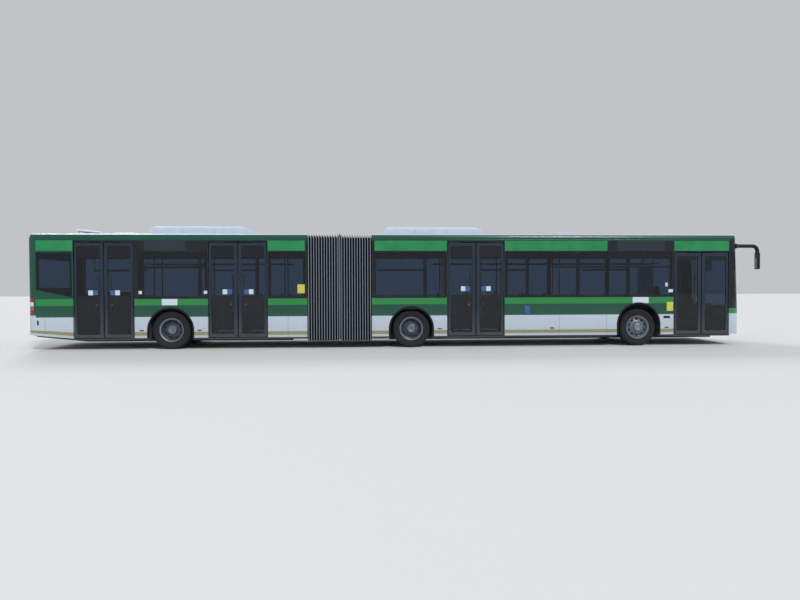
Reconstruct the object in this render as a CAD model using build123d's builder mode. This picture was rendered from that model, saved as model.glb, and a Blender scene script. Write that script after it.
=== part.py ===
from build123d import *
from math import cos, radians, sin
import os

# Articulated low-floor city bus of the 18 m class: two cars hinged under a folded bellows.
# Millimetres, +X forward, +Y left, +Z up. Z 0 is the ground and the origin is under the middle of the box.
os.makedirs("parts", exist_ok=True)

# Lengths along the bus
front_overhang = 2780
wheelbase_front = 5880
wheelbase_rear = 5990
rear_overhang = 3450
mirror_reach = 490
pivot_setback = 1810
bellows_length = 1620

# Cross section
body_width = 2500
wall = 50
roof_top = 2880
roof_corner = 110
cantrail = 2710
skirt = 290
floor_top = 284
floor_thickness = 40
frame_bottom = 150
window_sill = 1262
window_top = 2410
glass = 6
seat_gap = 0.3
pane_joint = 8
pane_lap = 45
neck_ring = 60
neck_ring_depth = 70

# Wheels
tyre_radius = 478
tyre_width = 275
wheel_sides = 36
rod_sides = 12
rim_radius = 300
wheel_plane = 1062
twin_spacing = 310
kingpin_offset = 132

# Doors: two leaves each, turned on columns and guided at their leading edges
portal_width = 1450
leaf_thickness = 32
leaf_edge_gap = 10
leaf_meeting_gap = 6
leaf_bottom = 300
mechanism_inset = 50
column_setback = 35
column_radius = 18
arm_length = 357
arm_thickness = 20
arm_gap = 5
lower_arm = 6

# Towing sockets
tow_bore = 20
tow_length = 120

# Bellows
fold_count = 12
fold_depth = 80
bellows_skin = 12
bellows_top = 2870
bellows_foot = 190
bellows_half = 1230
bellows_corner = 130
hoop_thickness = 40
hoop_depth = 105

# Joint between the cars, stacked upwards from the frame's underside
joint_plate = 30
joint_gap = 6
pin_radius = 60
pin_gap = 0.4
platform_radius = 780
platform_tail = 1200
joint_half = 280

# Roof pods
pod_top = 3090
pod_half = 960
pod_corner = 75

# End masks
mask_length = 340
mask_corner = 280
mask_bow = 60
mask_flat = 450
mask_lean = 100
mask_break = 950
tail_length = 200
tail_corner = 155
tail_rise = 96

# Engine flap, hung on a barrel hinge that stands out from the tail
flap_low, flap_high, flap_half = 560, 1180, 860
flap_gap = 6
hinge_radius = 9
hinge_half = 150

# Stations along X
behind = wheelbase_rear + rear_overhang + hinge_radius
ahead = wheelbase_front + front_overhang + mirror_reach
middle_x = (behind - ahead) / 2
front_x = middle_x + wheelbase_front
rear_x = middle_x - wheelbase_rear
nose_x = front_x + front_overhang
tail_x = rear_x - rear_overhang
pivot_x = middle_x - pivot_setback
front_neck = pivot_x + bellows_length / 2
rear_neck = pivot_x - bellows_length / 2
front_joint = nose_x - mask_length
rear_joint = tail_x + tail_length

# Levels and half widths worked out from them
body_half = body_width / 2
cabin_half = body_half - wall
ceiling = roof_top - wall
floor_bottom = floor_top - floor_thickness
hub_z = tyre_radius
tyre_bead = rim_radius + seat_gap
leaf_plane = -(body_half - wall / 2)
mechanism_y = leaf_plane + mechanism_inset
column_offset = portal_width / 2 + column_setback
leaf_tall, leaf_short = 2650, 2400

# Doors: number, station of the middle, top of the leaves
doors = [
    ("door_1", front_x + 1660, leaf_short),
    ("door_2", middle_x + 1647, leaf_tall),
    ("door_3", rear_x + 1655, leaf_tall),
    ("door_4", rear_x - 1612, leaf_tall),
]
front_doors, rear_doors = doors[:2], doors[2:]

# Wheel arches: station, half width, top, height of the arch's centre
arch_half = 532
front_arch = (front_x, arch_half, 1082, 550)
middle_arch = (middle_x, arch_half, 976, hub_z)
rear_arch = (rear_x, arch_half, 1006, hub_z)


def export(piece, name):
    piece.part.label = name
    export_step(piece.part, f"parts/{name}.step")


def upright(y):
    # Plane across the bus at y whose sketch axes are X and Z
    return Plane.XZ.offset(-y)


def prism(plane, centre, radius, sides, length, mode=Mode.ADD):
    # Round bar drawn with few flat sides, from plane along its normal
    with BuildSketch(plane) as outline:
        with Locations(centre):
            RegularPolygon(radius, sides)
    extrude(outline.sketch, amount=length, mode=mode)


def block(low, high, mode=Mode.ADD):
    # Box between two corners
    size = [b - a for a, b in zip(low, high)]
    with Locations(tuple((a + b) / 2 for a, b in zip(low, high))):
        Box(*size, mode=mode)


# Side walls. A pane is (low x, high x, sill at low x, sill at high x).
def pane_outline(pane, inset):
    low, high, sill_low, sill_high = pane
    top = window_top - inset
    Polygon(
        (low + inset, sill_low + inset),
        (high - inset, sill_high + inset),
        (high - inset, top),
        (low + inset, top),
        align=None,
    )


def panes_between(low, high, count):
    # Equal panes side by side with a joint between them
    pitch = (high - low) / count
    half_joint = pane_joint / 2
    return [
        (low + i * pitch + half_joint, low + (i + 1) * pitch - half_joint, window_sill, window_sill)
        for i in range(count)
    ]


front_right_panes = [
    *panes_between(front_neck + 50, middle_x + 880, 1),
    *panes_between(middle_x + 2415, middle_x + 3530, 1),
    *panes_between(middle_x + 3530, front_x - 830, 1),
    *panes_between(front_x - 830, front_x + 880, 1),
]
front_left_panes = panes_between(front_neck + 50, front_x + 2320, 6)
rear_right_panes = [
    *panes_between(rear_x - 780, rear_x + 900, 1),
    *panes_between(rear_x + 2420, rear_neck - 50, 1),
    (rear_joint + 20, rear_x - 2380, 1496, 1310),
]
rear_left_panes = panes_between(rear_joint + 20, rear_neck - 50, 4)


def cut_arch(side, arch):
    x, half, top, centre_z = arch
    with BuildSketch(upright(side * cabin_half)) as opening:
        with Locations((x, centre_z)):
            Circle(half)
        with Locations((x, centre_z / 2)):
            Rectangle(2 * half, centre_z)
        with Locations((x, 0)):
            Rectangle(2 * half, 2 * top, mode=Mode.INTERSECT)
    extrude(opening.sketch, amount=-side * wall, mode=Mode.SUBTRACT)


def side_wall(side, low_x, high_x, panes, arches, wall_doors):
    with BuildPart() as panel:
        with BuildSketch(upright(side * cabin_half)):
            with Locations(((low_x + high_x) / 2, (skirt + cantrail) / 2)):
                Rectangle(high_x - low_x, cantrail - skirt)
        extrude(amount=-side * wall)
        rebate = glass + seat_gap
        with BuildSketch(upright(side * (body_half - rebate))):
            for pane in panes:
                pane_outline(pane, -pane_joint / 2)
        extrude(amount=-side * rebate, mode=Mode.SUBTRACT)
        with BuildSketch(upright(side * cabin_half)):
            for pane in panes:
                pane_outline(pane, pane_lap)
        extrude(amount=-side * wall, mode=Mode.SUBTRACT)
        for arch in arches:
            cut_arch(side, arch)
        for _, x, leaf_top in wall_doors:
            portal_top = leaf_top + 2 * arm_gap + arm_thickness + arm_gap
            half = portal_width / 2
            block((x - half, -body_half, skirt), (x + half, -cabin_half, portal_top), Mode.SUBTRACT)
            shelf_half = column_offset + 2 * column_radius
            block(
                (x - shelf_half, -cabin_half, portal_top),
                (min(x + shelf_half, high_x), mechanism_y + 2 * column_radius, portal_top + 20),
            )
        # Ring that carries the bellows at the open end of the car
        neck_low = min(max(low_x, rear_neck - neck_ring), front_neck)
        inner, outer = sorted((side * (cabin_half - neck_ring_depth), side * cabin_half))
        block((neck_low, inner, floor_top), (neck_low + neck_ring, outer, cantrail))
        if low_x < rear_x:
            # The skirt rises towards the tail
            with BuildSketch(upright(side * cabin_half)):
                with BuildLine():
                    rise_start = rear_x - 2350
                    rise_here = tail_rise * (rise_start - low_x) / (rise_start - tail_x)
                    Polyline(
                        (rise_start, skirt), (low_x, skirt + rise_here), (low_x, skirt), close=True
                    )
                make_face()
            extrude(amount=-side * wall, mode=Mode.SUBTRACT)
    return panel


export(
    side_wall(-1, front_neck, front_joint, front_right_panes, [front_arch, middle_arch], front_doors),
    "front_wall_right",
)
export(
    side_wall(1, front_neck, front_joint, front_left_panes, [front_arch, middle_arch], []),
    "front_wall_left",
)
export(
    side_wall(-1, rear_joint, rear_neck, rear_right_panes, [rear_arch], rear_doors),
    "rear_wall_right",
)
export(side_wall(1, rear_joint, rear_neck, rear_left_panes, [rear_arch], []), "rear_wall_left")


# Roofs
def roof_face(half, top, corner):
    with BuildSketch(mode=Mode.PRIVATE) as face:
        with Locations((0, (cantrail + top) / 2)):
            Rectangle(2 * half, top - cantrail)
        soften = fillet if half > cabin_half else chamfer
        soften(face.vertices().group_by(Axis.Y)[-1], corner)
    return face.sketch


# Hatches: middle x, middle y, length, width, height
front_hatches = [(front_x - 1600, 0, 560, 700, 45), (front_x + 1120, 300, 90, 90, 60)]
rear_hatches = [(rear_x - 2340, 0, 640, 900, 95), (rear_x - 1440, 0, 560, 700, 45)]


def roof(low_x, high_x, ring_low, hatches):
    with BuildPart() as shell:
        with BuildSketch(Plane.YZ.offset(low_x)):
            add(roof_face(body_half, roof_top, roof_corner))
            add(roof_face(cabin_half, ceiling, roof_corner - wall), mode=Mode.SUBTRACT)
        extrude(amount=high_x - low_x)
        with BuildSketch(Plane.YZ.offset(ring_low)):
            add(roof_face(cabin_half, ceiling, roof_corner - wall))
            ring_half = cabin_half - neck_ring_depth
            ring_top = ceiling - neck_ring_depth
            with Locations((0, cantrail)):
                Rectangle(2 * ring_half, 2 * (ring_top - cantrail), mode=Mode.SUBTRACT)
        extrude(amount=neck_ring)
        for x, y, length, width, height in hatches:
            with BuildSketch(Plane.XY.offset(roof_top)):
                with Locations((x, y)):
                    RectangleRounded(length, width, min(length, width) / 8)
            extrude(amount=height, taper=20)
    return shell


export(roof(front_neck, front_joint, front_neck, front_hatches), "front_roof")
export(roof(rear_joint, rear_neck, rear_neck - neck_ring, rear_hatches), "rear_roof")


# Roof pods: flat on top, one end steep and round, the other a long round slope
def roof_pod(steep_x, flat_end, slope_end):
    with BuildPart() as pod:
        with BuildSketch(upright(pod_half)):
            Polygon(
                (steep_x, roof_top),
                (steep_x + 20, pod_top - 110),
                (steep_x + 75, pod_top - 35),
                (steep_x + 170, pod_top),
                (flat_end - 60, pod_top),
                (flat_end + 100, pod_top - 30),
                (flat_end + 220, pod_top - 95),
                (slope_end, roof_top),
                align=None,
            )
        extrude(amount=2 * pod_half)
        with BuildSketch(Plane.YZ.offset(steep_x)) as section:
            with Locations((0, (roof_top + pod_top) / 2)):
                Rectangle(2 * pod_half, pod_top - roof_top)
            fillet(section.vertices().group_by(Axis.Y)[-1], pod_corner)
        extrude(amount=slope_end - steep_x, mode=Mode.INTERSECT)
    return pod


export(roof_pod(middle_x - 716, middle_x + 1631, middle_x + 1940), "front_roof_pod")
export(roof_pod(rear_x - 630, rear_x + 1715, rear_x + 2220), "rear_roof_pod")


# Front mask: a bowed nose that leans back above its break line
def nose_form(inset):
    # Where the plan, the side view and the roof's section, each drawn inset, all overlap
    soften = fillet if inset < wall else chamfer
    low_x = front_joint - (wall if inset else 0)
    low_z = skirt - inset
    half, tip, top = body_half - inset, nose_x - inset, roof_top - inset
    with BuildPart() as form:
        with BuildSketch(Plane.XY.offset(low_z)):
            Polygon(
                (low_x, -half),
                (tip - mask_bow, -half),
                (tip, -mask_flat),
                (tip, mask_flat),
                (tip - mask_bow, half),
                (low_x, half),
                align=None,
            )
        extrude(amount=top - low_z)
        corners = form.edges().filter_by(Axis.Z).group_by(Axis.X)[1]
        soften(corners, mask_corner - inset)
        with BuildSketch(upright(half)) as side_view:
            Polygon(
                (low_x, low_z), (tip, low_z), (tip, mask_break), (tip - mask_lean, top), (low_x, top),
                align=None,
            )
            soften(side_view.vertices().sort_by(Axis.X)[2], roof_corner - inset)
        extrude(amount=2 * half, mode=Mode.INTERSECT)
        with BuildSketch(Plane.YZ.offset(low_x)) as section:
            with Locations((0, (low_z + top) / 2)):
                Rectangle(2 * half, top - low_z)
            soften(section.vertices().group_by(Axis.Y)[-1], roof_corner - inset)
        extrude(amount=tip - low_x, mode=Mode.INTERSECT)
    return form.part


glass_low = 962
glass_split = 2420
sign_low, sign_high, sign_half = 2450, 2740, 1020
screen_half = 1080
mirror_z = 2580
mirror_y = 1150
mirror_bend = 150
mirror_low, mirror_high = 1975, 2400
mirror_width, mirror_depth, mirror_edge = 260, 64, 24
mirror_turn = 15
arm_radius = 34
nose_outer = nose_form(0)
nose_inner = nose_form(wall)
nose_skin = nose_form(glass + seat_gap)
nose_pane = nose_form(glass)
glass_start = front_joint + 30

with BuildPart() as glass_rebate:
    block((glass_start, -body_half, glass_low), (nose_x, body_half, glass_split))
    block((glass_start, -sign_half, sign_low), (nose_x, sign_half, sign_high))
    add(nose_skin, mode=Mode.SUBTRACT)

with BuildPart() as front_mask:
    add(nose_outer)
    add(nose_inner, mode=Mode.SUBTRACT)
    add(glass_rebate.part, mode=Mode.SUBTRACT)
    block(
        (front_joint + 60, -screen_half, glass_low + pane_lap),
        (nose_x, screen_half, glass_split - pane_lap),
        Mode.SUBTRACT,
    )
    block(
        (front_joint + 60, -sign_half + pane_lap, sign_low + pane_lap),
        (nose_x, sign_half - pane_lap, sign_high - pane_lap),
        Mode.SUBTRACT,
    )
    for side in (-1, 1):
        low, high = sorted((side * 800, side * 1130))
        block((nose_x - 260, low, 560), (nose_x, high, 740), Mode.SUBTRACT)
        # Sockets that the mirror arms come out of
        with Locations(Location((nose_x - 150, side * mirror_y, mirror_z), (0, 90, 0))):
            Cylinder(arm_radius + seat_gap, 300, mode=Mode.SUBTRACT)
export(front_mask, "front_mask")

# Headlamps fill the mask's lamp openings
with BuildPart() as headlamps:
    lamp_gap = 5
    for side in (-1, 1):
        low, high = sorted((side * (800 + seat_gap), side * (1130 - lamp_gap)))
        block((nose_x - 260, low, 560 + seat_gap), (nose_x, high, 740 - seat_gap))
    add(nose_skin, mode=Mode.INTERSECT)
export(headlamps, "headlamps")


def flat_panes(side, panes):
    with BuildSketch(upright(side * (body_half - glass))) as outlines:
        for pane in panes:
            pane_outline(pane, 0)
    extrude(outlines.sketch, amount=-side * glass)


with BuildPart() as windscreen:
    clear = 3
    block((glass_start + clear, -body_half, glass_low + clear), (nose_x, body_half, glass_split - clear))
    block((glass_start, -sign_half + clear, sign_low + clear), (nose_x, sign_half - clear, sign_high - clear))
    add(nose_outer, mode=Mode.INTERSECT)
    add(nose_pane, mode=Mode.SUBTRACT)
export(windscreen, "windscreen")

with BuildPart() as front_glass:
    flat_panes(-1, front_right_panes)
    flat_panes(1, front_left_panes)
export(front_glass, "front_glass")


# Rear mask: upright, with round corners, a window, an engine opening and lamp pockets
def tail_form(inset):
    soften = fillet if inset < wall else chamfer
    high_x = rear_joint + (wall if inset else 0)
    low_x, half, top = tail_x + inset, body_half - inset, roof_top - inset
    with BuildPart() as form:
        with BuildSketch(Plane.XY.offset(skirt - inset)):
            with Locations(((low_x + high_x) / 2, 0)):
                Rectangle(high_x - low_x, 2 * half)
        extrude(amount=top - skirt + inset)
        soften(form.edges().filter_by(Axis.Z).group_by(Axis.X)[0], tail_corner - inset)
        with BuildSketch(upright(half)) as side_view:
            with Locations(((low_x + high_x) / 2, (skirt - inset + top) / 2)):
                Rectangle(high_x - low_x, top - skirt + inset)
            soften(side_view.vertices().group_by(Axis.Y)[-1].sort_by(Axis.X)[0], tail_corner - inset)
        extrude(amount=2 * half, mode=Mode.INTERSECT)
        with BuildSketch(Plane.YZ.offset(low_x)) as section:
            with Locations((0, (skirt - inset + top) / 2)):
                Rectangle(2 * half, top - skirt + inset)
            soften(section.vertices().group_by(Axis.Y)[-1], roof_corner - inset)
        extrude(amount=high_x - low_x, mode=Mode.INTERSECT)
    return form.part


rear_window = (1500, 2320, 900)
lamp_low, lamp_high, lamp_inner = 882, 1297, 1090

with BuildPart() as rear_mask:
    add(tail_form(0))
    add(tail_form(wall), mode=Mode.SUBTRACT)
    with BuildSketch(upright(body_half)):
        with BuildLine():
            Polyline(
                (rear_joint, skirt + 80),
                (tail_x, skirt + tail_rise),
                (tail_x, skirt),
                (rear_joint, skirt),
                close=True,
            )
        make_face()
    extrude(amount=body_width, mode=Mode.SUBTRACT)
    low, high, half = rear_window
    block((tail_x, -half, low), (tail_x + glass + seat_gap, half, high), Mode.SUBTRACT)
    block(
        (tail_x, -half + pane_lap, low + pane_lap),
        (tail_x + wall, half - pane_lap, high - pane_lap),
        Mode.SUBTRACT,
    )
    block((tail_x, -flap_half, flap_low), (tail_x + wall, flap_half, flap_high), Mode.SUBTRACT)
    for side in (-1, 1):
        inner, outer = sorted((side * lamp_inner, side * body_half))
        block((tail_x, inner, lamp_low), (tail_x + tail_corner, outer, lamp_high), Mode.SUBTRACT)
    with Locations(Location((tail_x, 0, flap_high), (90, 0, 0))):
        Cylinder(hinge_radius + flap_gap, 2 * (hinge_half + seat_gap), mode=Mode.SUBTRACT)
    # Hinge ears at the flap's top edge
    for side in (-1, 1):
        with Locations(Location((tail_x, side * (hinge_half + seat_gap + 30), flap_high), (90, 0, 0))):
            Cylinder(hinge_radius, 60)
export(rear_mask, "rear_mask")

with BuildPart() as tail_lamps:
    for side in (-1, 1):
        inner, outer = sorted((side * (lamp_inner + seat_gap), side * body_half))
        block(
            (tail_x, inner, lamp_low + seat_gap),
            (tail_x + tail_corner - seat_gap, outer, lamp_high - seat_gap),
        )
    add(tail_form(0), mode=Mode.INTERSECT)
    add(tail_form(wall), mode=Mode.SUBTRACT)
export(tail_lamps, "tail_lamps")

with BuildPart() as engine_flap:
    panel_top = flap_high - hinge_radius - flap_gap
    block(
        (tail_x, -flap_half + flap_gap, flap_low + flap_gap),
        (tail_x + 30, flap_half - flap_gap, panel_top),
    )
    with Locations(Location((tail_x, 0, flap_high), (90, 0, 0))):
        Cylinder(hinge_radius, 2 * hinge_half)
    block((tail_x, -hinge_half, panel_top), (tail_x + 4, hinge_half, flap_high))
export(engine_flap, "engine_flap")

with BuildPart() as rear_glass:
    flat_panes(-1, rear_right_panes)
    flat_panes(1, rear_left_panes)
    low, high, half = rear_window
    block((tail_x, -half + seat_gap, low + seat_gap), (tail_x + glass, half - seat_gap, high - seat_gap))
export(rear_glass, "rear_glass")


# Underframes: floor, rails, wheel housings. A housing is (x, half length, inner y, top).
housing_skin = 20
front_housing = (front_x, 570, 575, 1100)
middle_housing = (middle_x, arch_half, 590, 1010)
rear_housing = (rear_x, arch_half, 590, 1010)
rail_y, rail_width = 450, 70
axle_clearance = 90


def plate(low, high):
    # Box whose sides stand back by half the seat gap, so that plates laid side by side don't fuse
    inset = seat_gap / 2
    block([v + inset for v in low], [v - inset for v in high])


def add_floor(low_x, high_x, housings, rails):
    # Floor plates, full width between the wheel housings and narrow beside them
    start = low_x
    for x, half, inner_y, top in sorted(housings):
        before, after = x - half - housing_skin, x + half + housing_skin
        narrow = inner_y - housing_skin
        plate((start, -cabin_half, floor_bottom), (before, cabin_half, floor_top))
        plate((before, -narrow, floor_bottom), (after, narrow, floor_top))
        start = after
        for side in (-1, 1):
            inner, outer = sorted((side * narrow, side * inner_y))
            plate((before, inner, floor_bottom), (after, outer, top + housing_skin))
            inner, outer = sorted((side * inner_y, side * cabin_half))
            plate((before, inner, floor_bottom), (x - half, outer, top + housing_skin))
            plate((x + half, inner, floor_bottom), (after, outer, top + housing_skin))
            plate((x - half, inner, top), (x + half, outer, top + housing_skin))
    plate((start, -cabin_half, floor_bottom), (high_x, cabin_half, floor_top))
    # Frame rails with a cross member at each end
    for low, high in rails:
        inner = rail_y - rail_width / 2
        for side in (-1, 1):
            near, far = sorted((side * inner, side * (inner + rail_width)))
            plate((low, near, frame_bottom), (high, far, floor_bottom))
        for start in (low, high - rail_width):
            plate((start, -inner, frame_bottom + 20), (start + rail_width, inner, floor_bottom))


def tow_socket(x, direction):
    # Block under the floor, bored right through for a towing pin, its mouth facing direction
    face = x + direction * tow_length / 2
    block(
        (x - tow_length / 2, -60, floor_bottom - seat_gap - 80),
        (x + tow_length / 2, 60, floor_bottom - seat_gap),
    )
    plane = Plane(origin=(face, 0, floor_bottom - 40), z_dir=(direction, 0, 0))
    with BuildSketch(plane) as mouth:
        Circle(tow_bore)
    extrude(mouth.sketch, amount=-tow_length, mode=Mode.SUBTRACT)


with BuildPart() as front_underframe:
    add_floor(
        front_neck,
        front_joint,
        [front_housing, middle_housing],
        [
            (front_neck + 450, middle_x - axle_clearance),
            (middle_x + axle_clearance, front_x - axle_clearance),
            (front_x + axle_clearance, front_joint - 100),
        ],
    )
    plate((front_joint, -900, floor_bottom), (nose_x - 160, 900, floor_top))
    tow_socket(nose_x - 220, 1)
export(front_underframe, "front_underframe")

joint_low = frame_bottom
tongue_low = joint_low + joint_plate + joint_gap
beam_low = tongue_low + joint_plate + joint_gap
platform_low = beam_low + 24 + joint_gap

engine_box = (tail_x + 160, tail_x + 1560, 250, 1420)
with BuildPart() as rear_underframe:
    add_floor(
        rear_joint,
        rear_neck,
        [rear_housing],
        [(tail_x + 200, rear_x - axle_clearance), (rear_x + axle_clearance, rear_neck - 450)],
    )
    # Tail plate, narrow for the rear mask's round corners
    half = cabin_half - tail_corner
    plate((tail_x + wall + 10, -half, floor_bottom), (rear_joint, half, floor_top))
    # Engine cover, open towards the flap
    low_x, high_x, low_y, top = engine_box
    cover = 30
    plate((low_x, low_y, floor_top), (high_x, low_y + cover, top - cover))
    plate((high_x - cover, low_y + cover, floor_top), (high_x, cabin_half, top - cover))
    plate((low_x, low_y, top - cover), (high_x, cabin_half, top))
    tow_socket(tail_x + 130, -1)
    # Tongue to the pivot under the platform
    with BuildSketch(Plane.XY.offset(tongue_low)):
        with Locations((pivot_x, 0)):
            Circle(joint_half)
        with Locations(((pivot_x + rear_neck - 400) / 2, 0)):
            Rectangle(pivot_x - rear_neck + 400, 2 * joint_half)
        with Locations((pivot_x, 0)):
            Circle(pin_radius + pin_gap, mode=Mode.SUBTRACT)
    extrude(amount=joint_plate)
    plate((rear_neck - 400, -joint_half, tongue_low + joint_plate), (rear_neck, joint_half, floor_bottom))
export(rear_underframe, "rear_underframe")

with BuildPart() as engine:
    block((low_x + 40, low_y + 80, floor_top + seat_gap), (high_x - 90, cabin_half - 60, top - 120))
export(engine, "engine")

with BuildPart() as turntable:
    with BuildSketch(Plane.XY.offset(joint_low)):
        with Locations((pivot_x, 0)):
            Circle(joint_half)
        with Locations(((pivot_x + front_neck + 400) / 2, 0)):
            Rectangle(front_neck + 400 - pivot_x, 2 * joint_half)
    extrude(amount=joint_plate)
    block((front_neck, -joint_half, joint_low), (front_neck + 400, joint_half, floor_bottom))
    with BuildSketch(Plane.XY.offset(joint_low)):
        with Locations((pivot_x, 0)):
            Circle(pin_radius)
    extrude(amount=floor_top - joint_low)
    with BuildSketch(Plane.XY.offset(platform_low)):
        with Locations((pivot_x, 0)):
            Circle(platform_radius)
        with Locations(((pivot_x + front_neck) / 2, 0)):
            Rectangle(front_neck - pivot_x, platform_tail)
    extrude(amount=floor_top - platform_low)
export(turntable, "turntable")

with BuildPart() as centre_hoop:
    with BuildSketch(Plane.YZ.offset(pivot_x - hoop_thickness / 2)):
        with Locations((0, (beam_low + bellows_top) / 2)):
            RectangleRounded(2 * bellows_half + 10, bellows_top - beam_low + 10, 30)
        with Locations((0, (beam_low + 24 + bellows_top - hoop_depth) / 2)):
            Rectangle(
                2 * (bellows_half - hoop_depth),
                bellows_top - hoop_depth - beam_low - 24,
                mode=Mode.SUBTRACT,
            )
    extrude(amount=hoop_thickness)
    block((pivot_x - 60, -bellows_half, 0), (pivot_x + 60, bellows_half, beam_low), Mode.SUBTRACT)
    with BuildSketch(Plane.XY.offset(beam_low)):
        with Locations((pivot_x, 0)):
            Circle(2 * pin_radius)
    extrude(amount=24)
    with BuildSketch(Plane.XY.offset(beam_low)):
        with Locations((pivot_x, 0)):
            Circle(pin_radius + pin_gap)
    extrude(amount=24, mode=Mode.SUBTRACT)
export(centre_hoop, "centre_hoop")


# Bellows: an inverted U folded between each car and the hoop
def bellows_outline(x, reach):
    # Skin section at x, pushed out by reach from the folds' valleys
    half = bellows_half - fold_depth + reach
    top = bellows_top - fold_depth + reach
    outer = [
        (-half, bellows_foot),
        (-half, top - bellows_corner),
        (-half + bellows_corner, top),
        (half - bellows_corner, top),
        (half, top - bellows_corner),
        (half, bellows_foot),
    ]
    inner_half, inner_top = half - bellows_skin, top - bellows_skin
    inner = [
        (inner_half, bellows_foot),
        (inner_half, top - bellows_corner),
        (half - bellows_corner, inner_top),
        (-half + bellows_corner, inner_top),
        (-inner_half, top - bellows_corner),
        (-inner_half, bellows_foot),
    ]
    with BuildSketch(Plane.YZ.offset(x)) as section:
        Polygon(*outer, *inner, align=None)
    return section.sketch


with BuildPart() as bellows:
    start = hoop_thickness / 2 + seat_gap
    length = bellows_length / 2 - start - seat_gap
    for direction in (-1, 1):
        sections = [
            bellows_outline(
                pivot_x + direction * (start + length * step / (2 * fold_count)), fold_depth * (step % 2)
            )
            for step in range(2 * fold_count + 1)
        ]
        loft(sections, ruled=True)
export(bellows, "bellows")


# Wheels. Each ring is (distance inwards from the wheel's outer face, next distance, outer radius,
# inner radius).
def wheel_rings(side, x, rings):
    outer_face = wheel_plane + tyre_width / 2
    with BuildPart() as wheel:
        for start, end, outer, inner in rings:
            plane = Plane.XZ.offset(-side * (outer_face - start))
            with BuildSketch(plane) as ring:
                with Locations((x, hub_z)):
                    RegularPolygon(outer, wheel_sides)
                    if inner:
                        RegularPolygon(inner, wheel_sides, mode=Mode.SUBTRACT)
            extrude(ring.sketch, amount=side * (end - start))
    return wheel


def tyre_rings(offset):
    # Tread between two set-in shoulders, which the hidden inner twin does without
    shoulder, drop = 22, 14
    if offset:
        return [(offset, offset + tyre_width, tyre_radius, tyre_bead)]
    return [
        (offset + 2, offset + shoulder, tyre_radius - drop, tyre_bead),
        (offset + shoulder, offset + tyre_width - shoulder, tyre_radius, tyre_bead),
        (offset + tyre_width - shoulder, offset + tyre_width - 2, tyre_radius - drop, tyre_bead),
    ]


# Front rims carry a raised hub, twin rims a deep dish
rim_face = 20
front_rim = [(rim_face, 60, rim_radius, 255), (60, 135, rim_radius, 0), (5, 60, 110, 0)]
twin_inner = 640
twin_depth = wheel_plane + tyre_width / 2 - twin_inner
twin_rim = [(rim_face, 130, rim_radius, 255), (130, twin_depth, rim_radius, 0), (55, 130, 105, 0)]

# axle name, station, twin
axles = [("front", front_x, False), ("middle", middle_x, True), ("rear", rear_x, True)]
for axle, x, twin in axles:
    for hand, side in (("right", -1), ("left", 1)):
        rings = [ring for offset in ((0, twin_spacing) if twin else (0,)) for ring in tyre_rings(offset)]
        export(wheel_rings(side, x, rings), f"{axle}_tyre_{hand}")
        export(wheel_rings(side, x, twin_rim if twin else front_rim), f"{axle}_rim_{hand}")

# Front axle: dropped beam with a fork at each end, and the steered knuckles between the fork's lugs
kingpin_y = wheel_plane - kingpin_offset
beam_half = 50
knuckle_low, knuckle_high = hub_z - 85, hub_z + 85
def fixed_axle(x, casing):
    hub_face = 640 - seat_gap
    block((x - 60, -604, frame_bottom), (x + 60, 604, floor_bottom - seat_gap))
    if casing:
        block((x - 85, -200, frame_bottom - 20), (x + 85, 60, floor_bottom - seat_gap))
    for side in (-1, 1):
        low, high = sorted((side * 592, side * 606))
        block((x - 60, low, frame_bottom), (x + 60, high, hub_z + 120))
        prism(Plane.XZ.offset(-side * 592), (x, hub_z), 140, 24, -side * (hub_face - 592))


with BuildPart() as front_car_axles:
    block((front_x - beam_half, -700, frame_bottom), (front_x + beam_half, 700, floor_bottom - seat_gap))
    for side in (-1, 1):
        low, high = sorted((side * 620, side * 790))
        block((front_x - beam_half, low, frame_bottom), (front_x + beam_half, high, knuckle_high + 60))
        low, high = sorted((side * 780, side * (kingpin_y + 45)))
        for bottom, top in ((knuckle_low - 60, knuckle_low), (knuckle_high, knuckle_high + 60)):
            block((front_x - beam_half + 5, low, bottom), (front_x + beam_half - 5, high, top))
    fixed_axle(middle_x, False)
export(front_car_axles, "front_car_axles")

for hand, side in (("right", -1), ("left", 1)):
    with BuildPart() as knuckle:
        barrel = knuckle_high - knuckle_low - 2 * seat_gap
        prism(Plane.XY.offset(knuckle_low + seat_gap), (front_x, side * kingpin_y), 45, rod_sides, barrel)
        hub_end = wheel_plane + tyre_width / 2 - 135 - seat_gap
        for start, radius in ((kingpin_y, 60), (hub_end - 60, 170)):
            plane = Plane.XZ.offset(-side * start)
            prism(plane, (front_x, hub_z), radius, 24, -side * (hub_end - start))
    export(knuckle, f"knuckle_{hand}")


with BuildPart() as drive_axle:
    fixed_axle(rear_x, True)
export(drive_axle, "drive_axle")


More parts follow.
